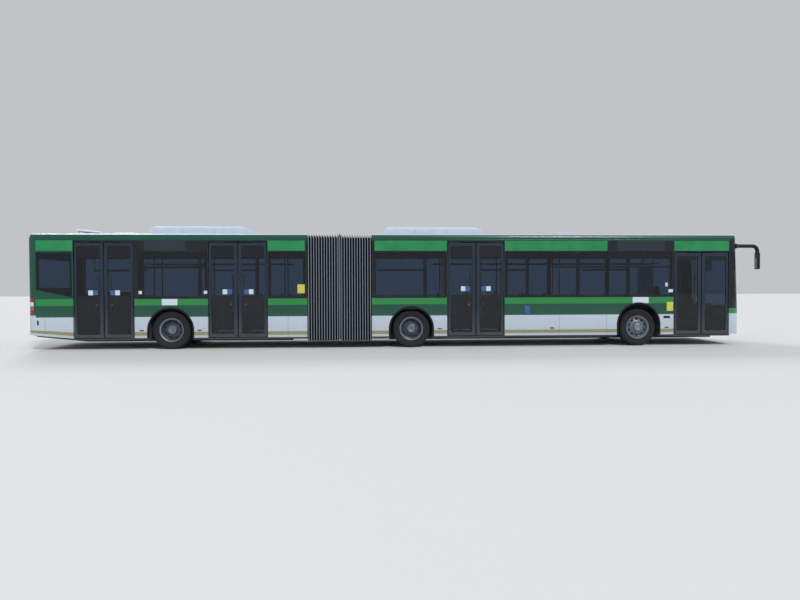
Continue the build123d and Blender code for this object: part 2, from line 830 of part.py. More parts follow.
# Doors: every leaf hangs on an arm above it and an arm below it, both on one column
def door_leaf(x, hand, leaf_top):
    # hand +1 is the rear leaf, which reaches forwards from its column, and -1 the front leaf
    column_x = x - hand * column_offset
    trailing = column_x + hand * (column_setback + leaf_edge_gap)
    leading = x - hand * leaf_meeting_gap
    stile, rail = 62, 80
    low_x, high_x = sorted((trailing, leading))
    low_y, high_y = leaf_plane - leaf_thickness / 2, leaf_plane + leaf_thickness / 2
    pin_x = column_x + hand * arm_length
    guide_x = column_x + 2 * hand * arm_length
    with BuildPart() as leaf:
        block((low_x, low_y, leaf_bottom), (high_x, high_y, leaf_top))
        block(
            (low_x + stile, low_y, leaf_bottom + rail),
            (high_x - stile, high_y, leaf_top - rail),
            Mode.SUBTRACT,
        )
        # The pane drops into a rebate from the cabin side
        groove = 12
        block(
            (low_x + stile - groove, leaf_plane - glass / 2 - seat_gap, leaf_bottom + rail - groove),
            (high_x - stile + groove, high_y, leaf_top - rail + groove),
            Mode.SUBTRACT,
        )
        # Brackets that carry the leaf on the arms' pins, and the guide roller's bracket
        half = 25
        for bottom, top in ((leaf_bottom, leaf_bottom + 40), (leaf_top - 40, leaf_top)):
            block((pin_x - half, high_y + seat_gap, bottom), (pin_x + half, mechanism_y + half, top))
        for bottom in (leaf_bottom - arm_gap + seat_gap, leaf_top):
            prism(Plane.XY.offset(bottom), (pin_x, mechanism_y), 18, rod_sides, arm_gap)
        block(
            (guide_x - half, high_y + seat_gap, leaf_top - 40),
            (guide_x + half, mechanism_y + half, leaf_top),
        )
        prism(Plane.XY.offset(leaf_top), (guide_x, mechanism_y), 14, 8, 24)
        block(
            (
                low_x + stile - groove + seat_gap,
                leaf_plane - glass / 2,
                leaf_bottom + rail - groove + seat_gap,
            ),
            (high_x - stile + groove - seat_gap, leaf_plane + glass / 2, leaf_top - rail + groove - seat_gap),
        )
    return leaf


def door_arm(x, hand, leaf_top):
    column_x = x - hand * column_offset
    pin_x = column_x + hand * arm_length
    portal_top = leaf_top + 3 * arm_gap + arm_thickness
    low_x, high_x = sorted((column_x, pin_x + hand * 25))
    with BuildPart() as arm:
        height = portal_top - floor_top - 2 * seat_gap
        foot = Plane.XY.offset(floor_top + seat_gap)
        prism(foot, (column_x, mechanism_y), column_radius, rod_sides, height)
        bottom = leaf_top + arm_gap + seat_gap
        block((low_x, mechanism_y - 12, bottom), (high_x, mechanism_y + 12, bottom + arm_thickness))
        top = leaf_bottom - arm_gap
        block((low_x, mechanism_y - 12, top - lower_arm), (high_x, mechanism_y + 12, top))
    return arm


for name, x, leaf_top in doors:
    for place, hand in (("rear", 1), ("front", -1)):
        export(door_leaf(x, hand, leaf_top), f"{name}_leaf_{place}")
        export(door_arm(x, hand, leaf_top), f"{name}_arm_{place}")


# Seats: x, y of the middle of a pair, facing +1 forwards or -1 backwards
def seat_rows(car, rows):
    depth = 430
    with BuildPart() as seats:
        for x, y, facing, base, width in rows:
            with BuildSketch(upright(y + width / 2)):
                with BuildLine():
                    Polyline(
                        (x - facing * 60, base),
                        (x + facing * 200, base),
                        (x + facing * 200, base + 380),
                        (x + facing * depth / 2, base + 400),
                        (x + facing * depth / 2, base + 460),
                        (x - facing * 160, base + 440),
                        (x - facing * 240, base + 1040),
                        (x - facing * 290, base + 1040),
                        (x - facing * 220, base + 380),
                        (x - facing * 60, base + 380),
                        close=True,
                    )
                make_face()
            extrude(amount=width)
    export(seats, f"{car}_seats")


pair_width, driver_y, driver_step = 860, 560, 220
seat_pitch = 800
seat_y = cabin_half - 20 - pair_width / 2


def rows_between(low, high, y):
    # Pairs of seats at the seat pitch, counted back from the front one
    count = int((high - low) // seat_pitch) + 1
    return [(high - i * seat_pitch, y, 1, floor_top, pair_width) for i in range(count)]


front_rows = [
    *rows_between(middle_x + 1150, front_x - 1530, seat_y),
    *rows_between(middle_x + 3100, front_x - 1180, -seat_y),
    (front_x + 1520, driver_y, 1, floor_top + driver_step, 480),
]
rear_rows = [
    *rows_between(rear_x + 1390, rear_neck - 380, seat_y),
    *rows_between(rear_x - 1010, rear_x - 1010, seat_y),
    *rows_between(rear_x + 2900, rear_neck - 470, -seat_y),
]
seat_rows("front", front_rows)
seat_rows("rear", rear_rows)


def poles(car, places):
    with BuildPart() as handrails:
        for x, y in places:
            prism(Plane.XY.offset(floor_top + seat_gap), (x, y), 17, 8, ceiling - floor_top - 2 * seat_gap)
    export(handrails, f"{car}_handrails")


pole_y = 300
front_poles = (middle_x + 900, middle_x + 2500, front_x - 1780, front_x + 820)
poles("front", [(x, y) for x in front_poles for y in (-pole_y, pole_y)])
rear_poles = (rear_neck - 680, rear_x + 690, rear_x - 710)
poles("rear", [(x, y) for x in rear_poles for y in (-pole_y, pole_y)])

with BuildPart() as dashboard:
    dash_x = nose_x - 560
    block((dash_x, -300, 700), (nose_x - 290, 1100, 1050))
    block((dash_x + 100, -250, floor_top), (nose_x - 300, 1050, 700))
    # Driver's platform, and the steering wheel leaning on its column
    block(
        (front_x + 1220, 300, floor_top + seat_gap),
        (dash_x + 40, cabin_half - 20, floor_top + driver_step - seat_gap),
    )
    column = Plane(origin=(dash_x + 60, driver_y, 960), z_dir=(-0.5, 0, 1))
    prism(column, (0, 0), 28, rod_sides, 150)
    rim = column.offset(130)
    prism(rim, (0, 0), 225, 24, 26)
    prism(rim, (0, 0), 195, 24, 26, Mode.SUBTRACT)
    with BuildSketch(rim) as spokes:
        Rectangle(60, 2 * 205)
    extrude(spokes.sketch, amount=14)
export(dashboard, "dashboard")

with BuildPart() as mirrors:
    for side in (-1, 1):
        # The head is turned towards the driver, and its front corner sets the bus's reach
        y = side * mirror_y
        turn = radians(mirror_turn)
        across = mirror_depth / 2 * cos(turn) + (mirror_width / 2 - mirror_edge) * sin(turn)
        head_x = nose_x + mirror_reach - across
        with BuildSketch(Plane.XY.offset(mirror_low)) as head:
            with Locations(Location((head_x, y), side * mirror_turn)):
                Rectangle(mirror_depth, mirror_width)
            chamfer(head.vertices(), mirror_edge)
        extrude(amount=mirror_high - mirror_low)
        # The arm goes straight out of its socket, then bends down to the head in four steps
        turns = [(sin(radians(a)), 1 - cos(radians(a))) for a in (0, 30, 60, 90)]
        bend_start = head_x - mirror_bend
        with BuildLine() as path:
            Polyline(
                (nose_x - 215, y, mirror_z),
                *(
                    (bend_start + mirror_bend * along, y, mirror_z - mirror_bend * down)
                    for along, down in turns
                ),
                (head_x, y, mirror_high - 20),
            )
        with BuildSketch(Plane(origin=(nose_x - 215, y, mirror_z), z_dir=(1, 0, 0))):
            RegularPolygon(arm_radius, 8)
        sweep(path=path.line, transition=Transition.RIGHT)
export(mirrors, "mirrors")
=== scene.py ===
import math

import bmesh
import bpy
from mathutils import Matrix, Vector


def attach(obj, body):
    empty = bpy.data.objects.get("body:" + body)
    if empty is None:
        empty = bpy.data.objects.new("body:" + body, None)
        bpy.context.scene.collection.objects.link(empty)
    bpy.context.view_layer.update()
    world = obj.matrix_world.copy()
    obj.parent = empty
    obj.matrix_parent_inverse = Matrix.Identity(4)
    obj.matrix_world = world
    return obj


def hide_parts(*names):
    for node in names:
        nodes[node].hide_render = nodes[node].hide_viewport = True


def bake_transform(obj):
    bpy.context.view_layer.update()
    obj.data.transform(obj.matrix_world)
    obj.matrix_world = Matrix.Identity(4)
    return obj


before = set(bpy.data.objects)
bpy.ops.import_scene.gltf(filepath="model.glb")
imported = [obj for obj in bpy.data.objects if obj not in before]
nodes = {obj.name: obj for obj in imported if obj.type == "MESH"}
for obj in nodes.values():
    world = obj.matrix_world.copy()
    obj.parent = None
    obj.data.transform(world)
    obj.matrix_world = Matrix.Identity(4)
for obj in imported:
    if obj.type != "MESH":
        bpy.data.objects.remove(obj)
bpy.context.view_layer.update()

# Stations along the bus in metres, as the CAD has them
middleX = 0.1495
frontX, rearX = middleX + 5.88, middleX - 5.99
noseX, tailX = frontX + 2.78, rearX - 3.45
pivotX = middleX - 1.81
frontNeck, rearNeck = pivotX + 0.81, pivotX - 0.81
frontJoint, rearJoint = noseX - 0.34, tailX + 0.2
sideY, hubZ, wheelY = 1.25, 0.478, 1.062
floorZ, cantrailZ, roofZ = 0.284, 2.71, 2.88
skirtLow, skirtHigh = 0.292, 0.806
skinY = sideY - 0.0005  # trim is sunk half a millimetre into the side
hands = (("right", -1), ("left", 1))


def addObject(name, data):
    made = bpy.data.objects.new(name, data)
    bpy.context.collection.objects.link(made)
    return made


# ---------------- camera
cameraSetup = {
    "focal": 601, "width": 800, "distance": 15.19, "yaw": 2.91, "pitch": 1.10, "roll": -0.18, "height": 1.5,
    "aimX": middleX - 0.288,  # where the optical axis meets the side of the bus
}


def addCamera(setup):
    data = bpy.data.cameras.new("photoCamera")
    data.sensor_width = 36
    data.lens = setup["focal"] / setup["width"] * data.sensor_width
    camera = addObject("photoCamera", data)
    yaw = math.radians(setup["yaw"])
    camera.location = (
        setup["aimX"] - setup["distance"] * math.sin(yaw), -sideY - setup["distance"] * math.cos(yaw),
        setup["height"],
    )
    camera.rotation_euler = (math.radians(90 - setup["pitch"]), math.radians(-setup["roll"]), -yaw)
    bpy.context.scene.camera = camera


addCamera(cameraSetup)


# ---------------- materials
def linear(hexColour):
    # sRGB hex to linear RGBA
    values = [int(hexColour[i:i + 2], 16) / 255 for i in (1, 3, 5)]
    return [v / 12.92 if v <= 0.04045 else ((v + 0.055) / 1.055) ** 2.4 for v in values] + [1.0]


def feed(tree, socket, value):
    # Links an output to the socket, or sets a value or a hex colour on it
    if isinstance(value, bpy.types.NodeSocket):
        tree.links.new(value, socket)
    else:
        socket.default_value = linear(value) if isinstance(value, str) else value


def addNode(tree, kind, inputs, **settings):
    made = tree.nodes.new(kind)
    for key, value in settings.items():
        setattr(made, key, value)
    for socket, value in inputs.items():
        feed(tree, made.inputs[socket], value)
    return made


def output(kind, wanted, inputs, **settings):
    # One output of a new node, in the tree that its linked inputs come from
    tree = next(value for value in inputs.values() if isinstance(value, bpy.types.NodeSocket)).id_data
    return addNode(tree, kind, inputs, **settings).outputs[wanted]


def calc(operation, *values):
    return output("ShaderNodeMath", 0, dict(enumerate(values)), operation=operation)


def addNoise(where, scale, detail, **more):
    return output("ShaderNodeTexNoise", "Fac", {"Vector": where, "Scale": scale, "Detail": detail, **more})


def axesOf(where):
    return addNode(where.id_data, "ShaderNodeSeparateXYZ", {"Vector": where}).outputs


def spread(value, low, high, start=0.3, stop=0.7):
    # Takes start..stop to low..high; the defaults are for noise, which mostly lies between them
    inputs = {"Value": value, "From Min": start, "From Max": stop, "To Min": low, "To Max": high}
    return output("ShaderNodeMapRange", "Result", inputs)


def blendColours(factor, first, second):
    return output("ShaderNodeMix", 2, {0: factor, 6: first, 7: second}, data_type="RGBA")


def dustOver(where, colour, dust, low, high, most=0.55):
    # Road dust thins out from low to high in metres above the ground and breaks up in patches of about 60 mm
    fall = spread(axesOf(where)["Z"], most, 0.02, low, high)
    patches = spread(addNoise(where, 16.0, 5.0), 0.35, 1.0)
    return blendColours(calc("MULTIPLY", fall, patches), colour, dust)


def newMaterial(name, **sockets):
    material = bpy.data.materials.new(name)
    material.use_nodes = True
    tree = material.node_tree
    shader = tree.nodes["Principled BSDF"]
    for socket, value in {"Specular_IOR_Level": 0.3, **sockets}.items():
        feed(tree, shader.inputs[socket.replace("_", " ")], value)
    return material, shader, addNode(tree, "ShaderNodeTexCoord", {}).outputs["Object"]


def wire(shader, shade, gloss=None, height=None, distance=0.0, strength=1.0):
    # Joins what a material has worked out to its shader
    links = shader.id_data.links
    links.new(shade, shader.inputs["Base Color"])
    if gloss:
        links.new(gloss, shader.inputs["Roughness"])
    if height:
        bump = {"Height": height, "Distance": distance, "Strength": strength}
        links.new(output("ShaderNodeBump", "Normal", bump), shader.inputs["Normal"])


def plainFinish(name, colour, roughness, grain, metallic=0.0, depth=0.0003, tone=0.12, dust=None, coat=0.0):
    # One finish with its tone and gloss broken up by noise; grain is in features per metre
    lacquer = {"Coat_Weight": coat, "Coat_Roughness": 0.08} if coat else {}
    material, shader, where = newMaterial(name, Metallic=metallic, **lacquer)
    noise = addNoise(where, grain, 6.0, Roughness=0.6)
    dark, pale = ([min(1.0, v * (1 + t)) for v in linear(colour)[:3]] + [1.0] for t in (-tone, tone))
    shade = blendColours(spread(noise, 0.0, 1.0), dark, pale)
    if dust:
        shade = dustOver(where, shade, dust, 0.1, 1.1)
    gloss = spread(noise, roughness * 0.85, min(1.0, roughness * 1.2))
    wire(shader, shade, gloss, noise, depth)
    return material


# Heights where the paint's colours change, and the lift of the low bands behind riseStart
livery = {
    "white": "#BFCCDC", "yellow": "#8F8C5E", "darkGreen": "#084A38", "lightGreen": "#23823F", "black": "#080D15",
    "interior": "#B4B9BD", "dust": "#8C8A80", "yellowLow": 0.346, "yellowHigh": 0.436, "skirtTop": 0.811,
    "beltLow": 1.096, "beltHigh": 1.262, "roofEdge": 2.839, "ceiling": 2.85, "rampTop": 3.2, "rise": 0.096,
    "riseStart": middleX - 8.34, "noseStart": middleX + 8.262, "insideHalf": 1.212,
}


def bandRamp(share, bands):
    ramp = addNode(share.id_data, "ShaderNodeValToRGB", {"Fac": share})
    ramp.color_ramp.interpolation = "CONSTANT"
    stops = ramp.color_ramp.elements
    while len(stops) < len(bands):
        stops.new(0.99)
    for stop, (start, colour) in zip(stops, bands):
        stop.position = start / livery["rampTop"]
        stop.color = linear(livery[colour])
    return ramp.outputs["Color"]


def liveryPaint(name, bands, insideHalf=livery["insideHalf"], ends=False):
    # Two-pack paint on aluminium sheet: glossy, faint orange peel about 4 mm apart, dusty towards the skirt
    material, shader, where = newMaterial(name, Roughness=0.28, Coat_Weight=0.2, Coat_Roughness=0.08)
    x, y, z = axesOf(where)
    # The bands low down follow the rising skirt; above the belt nothing shifts
    rise = spread(x, 0.0, livery["rise"], livery["riseStart"], tailX)
    shift = calc("MULTIPLY", rise, spread(z, 1.0, 0.0, 0.45, 0.6))
    share = calc("DIVIDE", calc("SUBTRACT", z, shift), livery["rampTop"])
    patches = spread(addNoise(where, 1.3, 3.0), 0.0, 0.04)
    shade = blendColours(patches, bandRamp(share, bands), "#6F8288")
    if ends:
        # Green all round the last window, and the nose's colours ahead of the first door
        behind = calc("LESS_THAN", x, livery["riseStart"])
        above = calc("GREATER_THAN", z, livery["beltHigh"])
        shade = blendColours(calc("MULTIPLY", behind, above), shade, livery["darkGreen"])
        ahead = calc("GREATER_THAN", x, livery["noseStart"])
        shade = blendColours(ahead, shade, bandRamp(share, noseBands))
    shade = dustOver(where, shade, livery["dust"], 0.25, 0.95, 0.40)
    between = calc("LESS_THAN", calc("ABSOLUTE", y), insideHalf)
    inside = calc("MULTIPLY", between, calc("LESS_THAN", z, livery["ceiling"]))
    if insideHalf:
        shade = blendColours(inside, shade, livery["interior"])
    gloss = calc("MULTIPLY_ADD", inside, 0.3, 0.25)
    wire(shader, shade, gloss, addNoise(where, 250.0, 2.0), 0.00015, 0.4)
    return material


skirtBands = [(0.0, "white"), (livery["yellowLow"], "yellow"), (livery["yellowHigh"], "white")]
sideBands = skirtBands + [
    (livery["skirtTop"], "darkGreen"), (livery["beltLow"], "lightGreen"), (livery["beltHigh"], "black"),
    (cantrailZ, "darkGreen"),
]
roofEdge = (livery["roofEdge"], "white")
noseBands = [(0.0, "white"), (0.82, "lightGreen"), (0.955, "black"), (2.76, "darkGreen"), roofEdge]

sidePaint = liveryPaint("sidePaint", sideBands, ends=True)
nosePaint = liveryPaint("nosePaint", noseBands, 0.0)
tailPaint = liveryPaint("tailPaint", skirtBands + [(0.86, "darkGreen"), roofEdge], 0.0)
roofPaint = liveryPaint("roofPaint", [(0.0, "darkGreen"), roofEdge])
cantrailGreen = plainFinish("cantrailGreen", "#26844F", 0.3, 3.0, coat=0.1, depth=0.0)  # film over sheet
whitePaint = plainFinish("whitePaint", "#C9D4E0", 0.3, 2.5, coat=0.3, tone=0.05, depth=0.0)
glassFibre = plainFinish("glassFibre", "#BFCDDC", 0.42, 6.0, tone=0.05, depth=0.0004)  # gel coat
doorPaint = plainFinish("doorPaint", "#202C3A", 0.42, 60.0, dust="#6E6C66")  # powder-coated aluminium
panelBlack = plainFinish("panelBlack", "#10171F", 0.35, 30.0, coat=0.1)
displayPanel = plainFinish("displayPanel", "#272F3A", 0.25, 200.0, tone=0.2, coat=0.2)  # smoked acrylic
chassisPaint = plainFinish("chassisPaint", "#1B1C1E", 0.62, 22.0, depth=0.0012, tone=0.35, dust="#5A5650")
blackPlastic = plainFinish("blackPlastic", "#131416", 0.5, 900.0, depth=0.00012)  # moulded ABS, fine grain
sealRubber = plainFinish("sealRubber", "#101113", 0.7, 80.0)  # EPDM
railPaint = plainFinish("railPaint", "#D9A514", 0.3, 50.0, coat=0.4)  # powder-coated tube
columnPaint = plainFinish("columnPaint", "#4A4F56", 0.4, 50.0)
hoopPaint = plainFinish("hoopPaint", "#667080", 0.45, 90.0, metallic=0.5, dust="#4E545C")
brushedAluminium = plainFinish("brushedAluminium", "#B9BEC4", 0.36, 120.0, metallic=1.0, depth=0.0001)
castIron = plainFinish("castIron", "#37383A", 0.7, 70.0, metallic=0.6, depth=0.0015)
seatCloth = plainFinish("seatCloth", "#35577A", 0.9, 260.0, depth=0.0006, tone=0.3)  # woven moquette
seatShell = plainFinish("seatShell", "#2B4B66", 0.45, 700.0, depth=0.0001)  # moulded polypropylene
floorVinyl = plainFinish("floorVinyl", "#50565C", 0.6, 500.0, depth=0.0004)  # flecked safety floor
ceilingPanel = plainFinish("ceilingPanel", "#C6CBCF", 0.5, 30.0, tone=0.05)
stickerWhite = plainFinish("stickerWhite", "#C8D6E2", 0.35, 90.0, tone=0.06)
stickerBlue = plainFinish("stickerBlue", "#3F5C93", 0.35, 90.0, tone=0.1)
stickerYellow = plainFinish("stickerYellow", "#C9C455", 0.35, 90.0, tone=0.1)
amberLens = plainFinish("amberLens", "#A8641A", 0.15, 400.0, coat=0.5)
markerLens = plainFinish("markerLens", "#5A3C22", 0.2, 400.0, coat=0.3)
mirrorSilver = plainFinish("mirrorSilver", "#4A5058", 0.1, 300.0, metallic=1.0)
redLens = plainFinish("redLens", "#8E1017", 0.14, 400.0, coat=0.8)
nutSteel = plainFinish("nutSteel", "#7F868E", 0.4, 90.0, metallic=0.6, dust="#4A4A4B")
reflector = plainFinish("reflector", "#C9CED4", 0.12, 300.0, metallic=1.0)


def wheelPaint():
    # Silver steel wheel, darker where the disc is sunk: painted shade in the recess, partly brake dust
    material, shader, where = newMaterial("wheelPaint", Metallic=0.55, Roughness=0.42)
    noise = addNoise(where, 45.0, 6.0)
    shade = blendColours(spread(noise, 0.0, 1.0), "#7C848E", "#98A0A9")
    depth = calc("ABSOLUTE", axesOf(where)["Y"])
    # Painted shade: the colour darkens towards #454C55 where the disc lies deeper inside the tyre
    shade = blendColours(spread(depth, 1.0, 0.0, 1.07, 1.17), shade, "#454C55")
    wire(shader, dustOver(where, shade, "#4A4A4B", 0.1, 1.0, 0.5), None, noise, 0.0004)
    return material


def tyreRubber():
    # Vulcanised rubber, grey with road dust
    material, shader, where = newMaterial("tyreRubber", Roughness=0.82)
    noise = addNoise(where, 60.0, 7.0)
    shade = blendColours(spread(noise, 0.0, 1.0), "#111419", "#1D2127")
    wire(shader, dustOver(where, shade, "#3B3E43", 0.0, 1.1, 0.5), None, noise, 0.0008)
    return material


def bellowsCloth():
    # Coated bellows cloth: matt grey, woven threads drawn 3 mm apart, dust streaks running down the folds
    material, shader, where = newMaterial("bellowsCloth", Roughness=0.8)
    stretched = output("ShaderNodeMapping", "Vector", {"Vector": where, "Scale": (9.0, 9.0, 0.8)})
    streaks = spread(addNoise(stretched, 2.0, 6.0), 0.0, 1.0)
    shade = blendColours(streaks, "#45556D", "#6B7C94")
    shade = dustOver(where, shade, "#5D6673", 0.1, 1.6, 0.4)
    # Painted shade: the valleys between the folds are darkened to near black, the ridges keep the cloth's colour
    axes = axesOf(where)
    sideRidge = spread(calc("ABSOLUTE", axes["Y"]), 0.0, 1.0, 1.178, 1.228)
    ridge = calc("MAXIMUM", sideRidge, spread(axes["Z"], 0.0, 1.0, 2.80, 2.855))
    shade = blendColours(ridge, "#0E1622", shade)
    weave = {"Vector": where, "Scale": 105.0, "Distortion": 0.4}
    threads = output("ShaderNodeTexWave", "Fac", weave, wave_type="BANDS", bands_direction="Z")
    wire(shader, shade, None, threads, 0.0004, 0.6)
    return material


def tintedGlass(name, colour):
    # Toughened green-grey glass: the tint takes most of the light on its way into the cabin and out again
    material, shader, where = newMaterial(name, Roughness=0.02, IOR=1.42, Transmission_Weight=1.0)
    patches = spread(addNoise(where, 1.5, 2.0), 0.0, 0.1)
    wire(shader, blendColours(patches, colour, "#5E6E78"))
    return material


wheelSteel, rubber, cloth = wheelPaint(), tyreRubber(), bellowsCloth()
windowGlass = tintedGlass("windowGlass", "#70859A")
doorGlass = tintedGlass("doorGlass", "#70859A")
lampGlass = tintedGlass("lampGlass", "#DDE4EA")
print("materials made")


# ---------------- mesh building
def addBlock(bm, low, high, edge):
    # Block with eased edges
    low, high = Vector(low), Vector(high)
    made = bmesh.ops.create_cube(bm, size=1.0)["verts"]
    middle, size = (low + high) / 2, high - low
    for vert in made:
        vert.co = Vector(c * s + m for c, s, m in zip(vert.co, size, middle))
    edge = min(edge, min(size) * 0.45)
    if edge > 0:
        edges = {e for v in made for e in v.link_edges}
        bmesh.ops.bevel(bm, geom=list(edges), offset=edge, segments=1, affect="EDGES", profile=0.6)


def addLoft(bm, rings, caps=True):
    # Skin over closed rings that all have the same number of points
    rows = [[bm.verts.new(p) for p in ring] for ring in rings]
    count = len(rows[0])
    for first, second in zip(rows, rows[1:]):
        for i in range(count):
            j = (i + 1) % count
            bm.faces.new((first[i], first[j], second[j], second[i]))
    if caps:
        bm.faces.new(rows[0][::-1])
        bm.faces.new(rows[-1])


def roundCorners(points, radius, steps, closed=True):
    # Points of an outline or path with each corner turned into an arc of about radius
    points = [Vector(p) for p in points]
    count, made = len(points), []
    for i, corner in enumerate(points):
        if not closed and i in (0, count - 1):
            made.append(corner)
            continue
        before, after = points[i - 1] - corner, points[(i + 1) % count] - corner
        reach = min(radius / math.tan(before.angle(after) / 2), before.length * 0.49, after.length * 0.49)
        start, end = corner + before.normalized() * reach, corner + after.normalized() * reach
        for step in range(steps + 1):
            t = step / steps
            made.append((1 - t) ** 2 * start + 2 * t * (1 - t) * corner + t * t * end)
    return made


def rectangle(u0, v0, u1, v1, radius, steps=4):
    return roundCorners([(u0, v0), (u1, v0), (u1, v1), (u0, v1)], radius, steps)


def oval(halfU, halfV, degrees):
    turns = [math.radians(a) for a in range(0, 360, degrees)]
    return [(halfU * math.cos(a), halfV * math.sin(a)) for a in turns]


def spot(axis, u, v, w):
    # The point (u, v) of a drawing across an axis, at w along it
    return Vector({"X": (w, u, v), "Y": (u, w, v), "Z": (u, v, w)}[axis])


def addPlate(bm, outline, axis, low, high, ease=0.0):
    # Flat outline of (u, v) pairs drawn across axis, from low to high, its rims eased
    flat = [Vector(p) for p in outline]
    centre = sum(flat, Vector((0, 0))) / len(flat)
    levels = [(low, ease), (low + ease, 0), (high - ease, 0), (high, ease)] if ease else [(low, 0), (high, 0)]
    addLoft(bm, [
        [spot(axis, *(p - (p - centre).normalized() * inset), level) for p in flat] for level, inset in levels
    ])


def addFrame(bm, outer, inner, axis, low, high):
    # Ring between two outlines with the same number of points
    corners = ((outer, low), (outer, high), (inner, high), (inner, low), (outer, low))
    addLoft(bm, [[spot(axis, *p, w) for p in ring] for ring, w in corners], False)
    bmesh.ops.remove_doubles(bm, verts=bm.verts, dist=1e-6)


def addLathe(bm, profile, centre, steps, axis="Y"):
    # Profile of (distance along the axis, radius) turned about that axis through centre
    turns, centre = [2 * math.pi * i / steps for i in range(steps)], Vector(centre)
    addLoft(bm, [
        [centre + spot(axis, r * math.cos(a), r * math.sin(a), along) for a in turns] for along, r in profile
    ], False)


def addTube(bm, points, radius, sides, bend=0.0, steps=5):
    # Round tube along a path, its frame carried along without twist
    path = roundCorners(points, bend, steps, closed=False) if bend else [Vector(p) for p in points]
    across = (path[1] - path[0]).normalized().orthogonal().normalized()
    rings = []
    for i, point in enumerate(path):
        ahead = (path[min(i + 1, len(path) - 1)] - path[max(i - 1, 0)]).normalized()
        across = (across - ahead * across.dot(ahead)).normalized()
        up = ahead.cross(across)
        rings.append([
            point + radius * (across * math.cos(a) + up * math.sin(a))
            for a in (2 * math.pi * k / sides for k in range(sides))
        ])
    addLoft(bm, rings)


def toMesh(bm, name):
    mesh = bpy.data.meshes.new(name)
    bm.to_mesh(mesh)
    bm.free()
    return mesh


def placePiece(mesh, name, material, body, replaced=(), angle=35):
    # Turns a mesh into a piece that rides on body
    mesh.shade_smooth()
    mesh.set_sharp_from_angle(angle=math.radians(angle))
    mesh.materials.clear()
    mesh.materials.append(material)
    piece = addObject(name, mesh)
    if body:
        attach(piece, body)
    if replaced:
        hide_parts(*replaced)
    return piece


def endMesh(bm, name, material, body, slot, replaced=(), angle=35):
    bmesh.ops.remove_doubles(bm, verts=bm.verts, dist=1e-5)
    bmesh.ops.recalc_face_normals(bm, faces=bm.faces)
    return placePiece(toMesh(bm, name), name, material, body, replaced, angle)


def makePiece(name, material, body, slot, *shapes, **more):
    # A piece made of shapes, each given as its function and what that takes after the mesh
    bm = bmesh.new()
    for add, *values in shapes:
        add(bm, *values)
    return endMesh(bm, name, material, body, slot, **more)


# ---------------- geometry nodes
def newTree(name, **sockets):
    tree = bpy.data.node_groups.new(name, "GeometryNodeTree")
    for label, kind in {"Geometry": "Geometry", **sockets, "Material": "Material"}.items():
        tree.interface.new_socket(label, in_out="INPUT", socket_type=f"NodeSocket{kind}")
    tree.interface.new_socket("Geometry", in_out="OUTPUT", socket_type="NodeSocketGeometry")
    return tree, tree.nodes.new("NodeGroupInput").outputs


def endTree(tree, geometry, material):
    real = output("GeometryNodeRealizeInstances", "Geometry", {"Geometry": geometry})
    painted = output("GeometryNodeSetMaterial", "Geometry", {"Geometry": real, "Material": material})
    addNode(tree, "NodeGroupOutput", {"Geometry": painted})
    return tree


def ringTree():
    # Copies of the mesh round a circle about the Y axis, each turned to face outwards
    tree, given = newTree("ringOfCopies", Count="Int", Radius="Float", Centre="Vector", Start="Float")
    circle = {"Vertices": given["Count"], "Radius": given["Radius"]}
    points = output("GeometryNodeMeshCircle", "Mesh", circle)
    outward = addNode(tree, "GeometryNodeInputPosition", {}).outputs["Position"]
    facing = {"Vector": outward}
    turn = output("FunctionNodeAlignRotationToVector", "Rotation", facing, axis="X", pivot_axis="Z")
    copies = {"Points": points, "Instance": given["Geometry"], "Rotation": turn}
    place = {
        "Geometry": output("GeometryNodeInstanceOnPoints", "Instances", copies), "Translation": given["Centre"],
        "Rotation": output("ShaderNodeCombineXYZ", "Vector", {"X": math.pi / 2, "Y": given["Start"]}),
    }
    return endTree(tree, output("GeometryNodeTransform", "Geometry", place), given["Material"])


def rowTree():
    # Copies of the mesh in a straight row
    tree, given = newTree("rowOfCopies", Count="Int", Step="Vector", Start="Vector")
    row = {"Count": given["Count"], "Start Location": given["Start"], "Offset": given["Step"]}
    line = output("GeometryNodeMeshLine", "Mesh", row)
    copies = {"Points": line, "Instance": given["Geometry"]}
    return endTree(tree, output("GeometryNodeInstanceOnPoints", "Instances", copies), given["Material"])


ringOfCopies, rowOfCopies = ringTree(), rowTree()


def grow(bm, tree, **values):
    # Runs a tree over the mesh and gives back a plain mesh
    bmesh.ops.recalc_face_normals(bm, faces=bm.faces)
    seed = addObject("seed", toMesh(bm, "seed"))
    modifier = seed.modifiers.new("grow", "NODES")
    modifier.node_group = tree
    for item in tree.interface.items_tree:
        if item.in_out == "INPUT" and item.name in values:
            modifier[item.identifier] = values[item.name]
    grown = bpy.data.meshes.new_from_object(seed.evaluated_get(bpy.context.evaluated_depsgraph_get()))
    bpy.data.objects.remove(seed)
    return grown


def growPiece(name, material, body, slot, bm, tree, **values):
    placePiece(grow(bm, tree, Material=material, **values), name, material, body)


# ---------------- carried-over CAD nodes, each with the finish of the first word found in its name
finishOf = {
    "_wall_": sidePaint, "roof_pod": glassFibre, "_roof": roofPaint, "front_mask": nosePaint,
    "rear_mask": tailPaint, "_glass": windowGlass, "windscreen": windowGlass, "headlamps": reflector,
    "tail_lamps": redLens, "engine_flap": whitePaint, "underframe": floorVinyl, "axle": chassisPaint,
    "knuckle": chassisPaint, "turntable": brushedAluminium, "centre_hoop": hoopPaint, "bellows": cloth,
    "engine": castIron, "dashboard": blackPlastic, "mirrors": blackPlastic, "seats": seatShell,
    "handrails": railPaint, "tyre": rubber, "rim": wheelSteel, "": columnPaint,
}
for name, node in nodes.items():
    finish = next(finish for word, finish in finishOf.items() if word in name)
    if not node.data.materials:
        node.data.materials.append(finish)
    for slot in node.material_slots:
        slot.material = finish
print("CAD nodes finished")


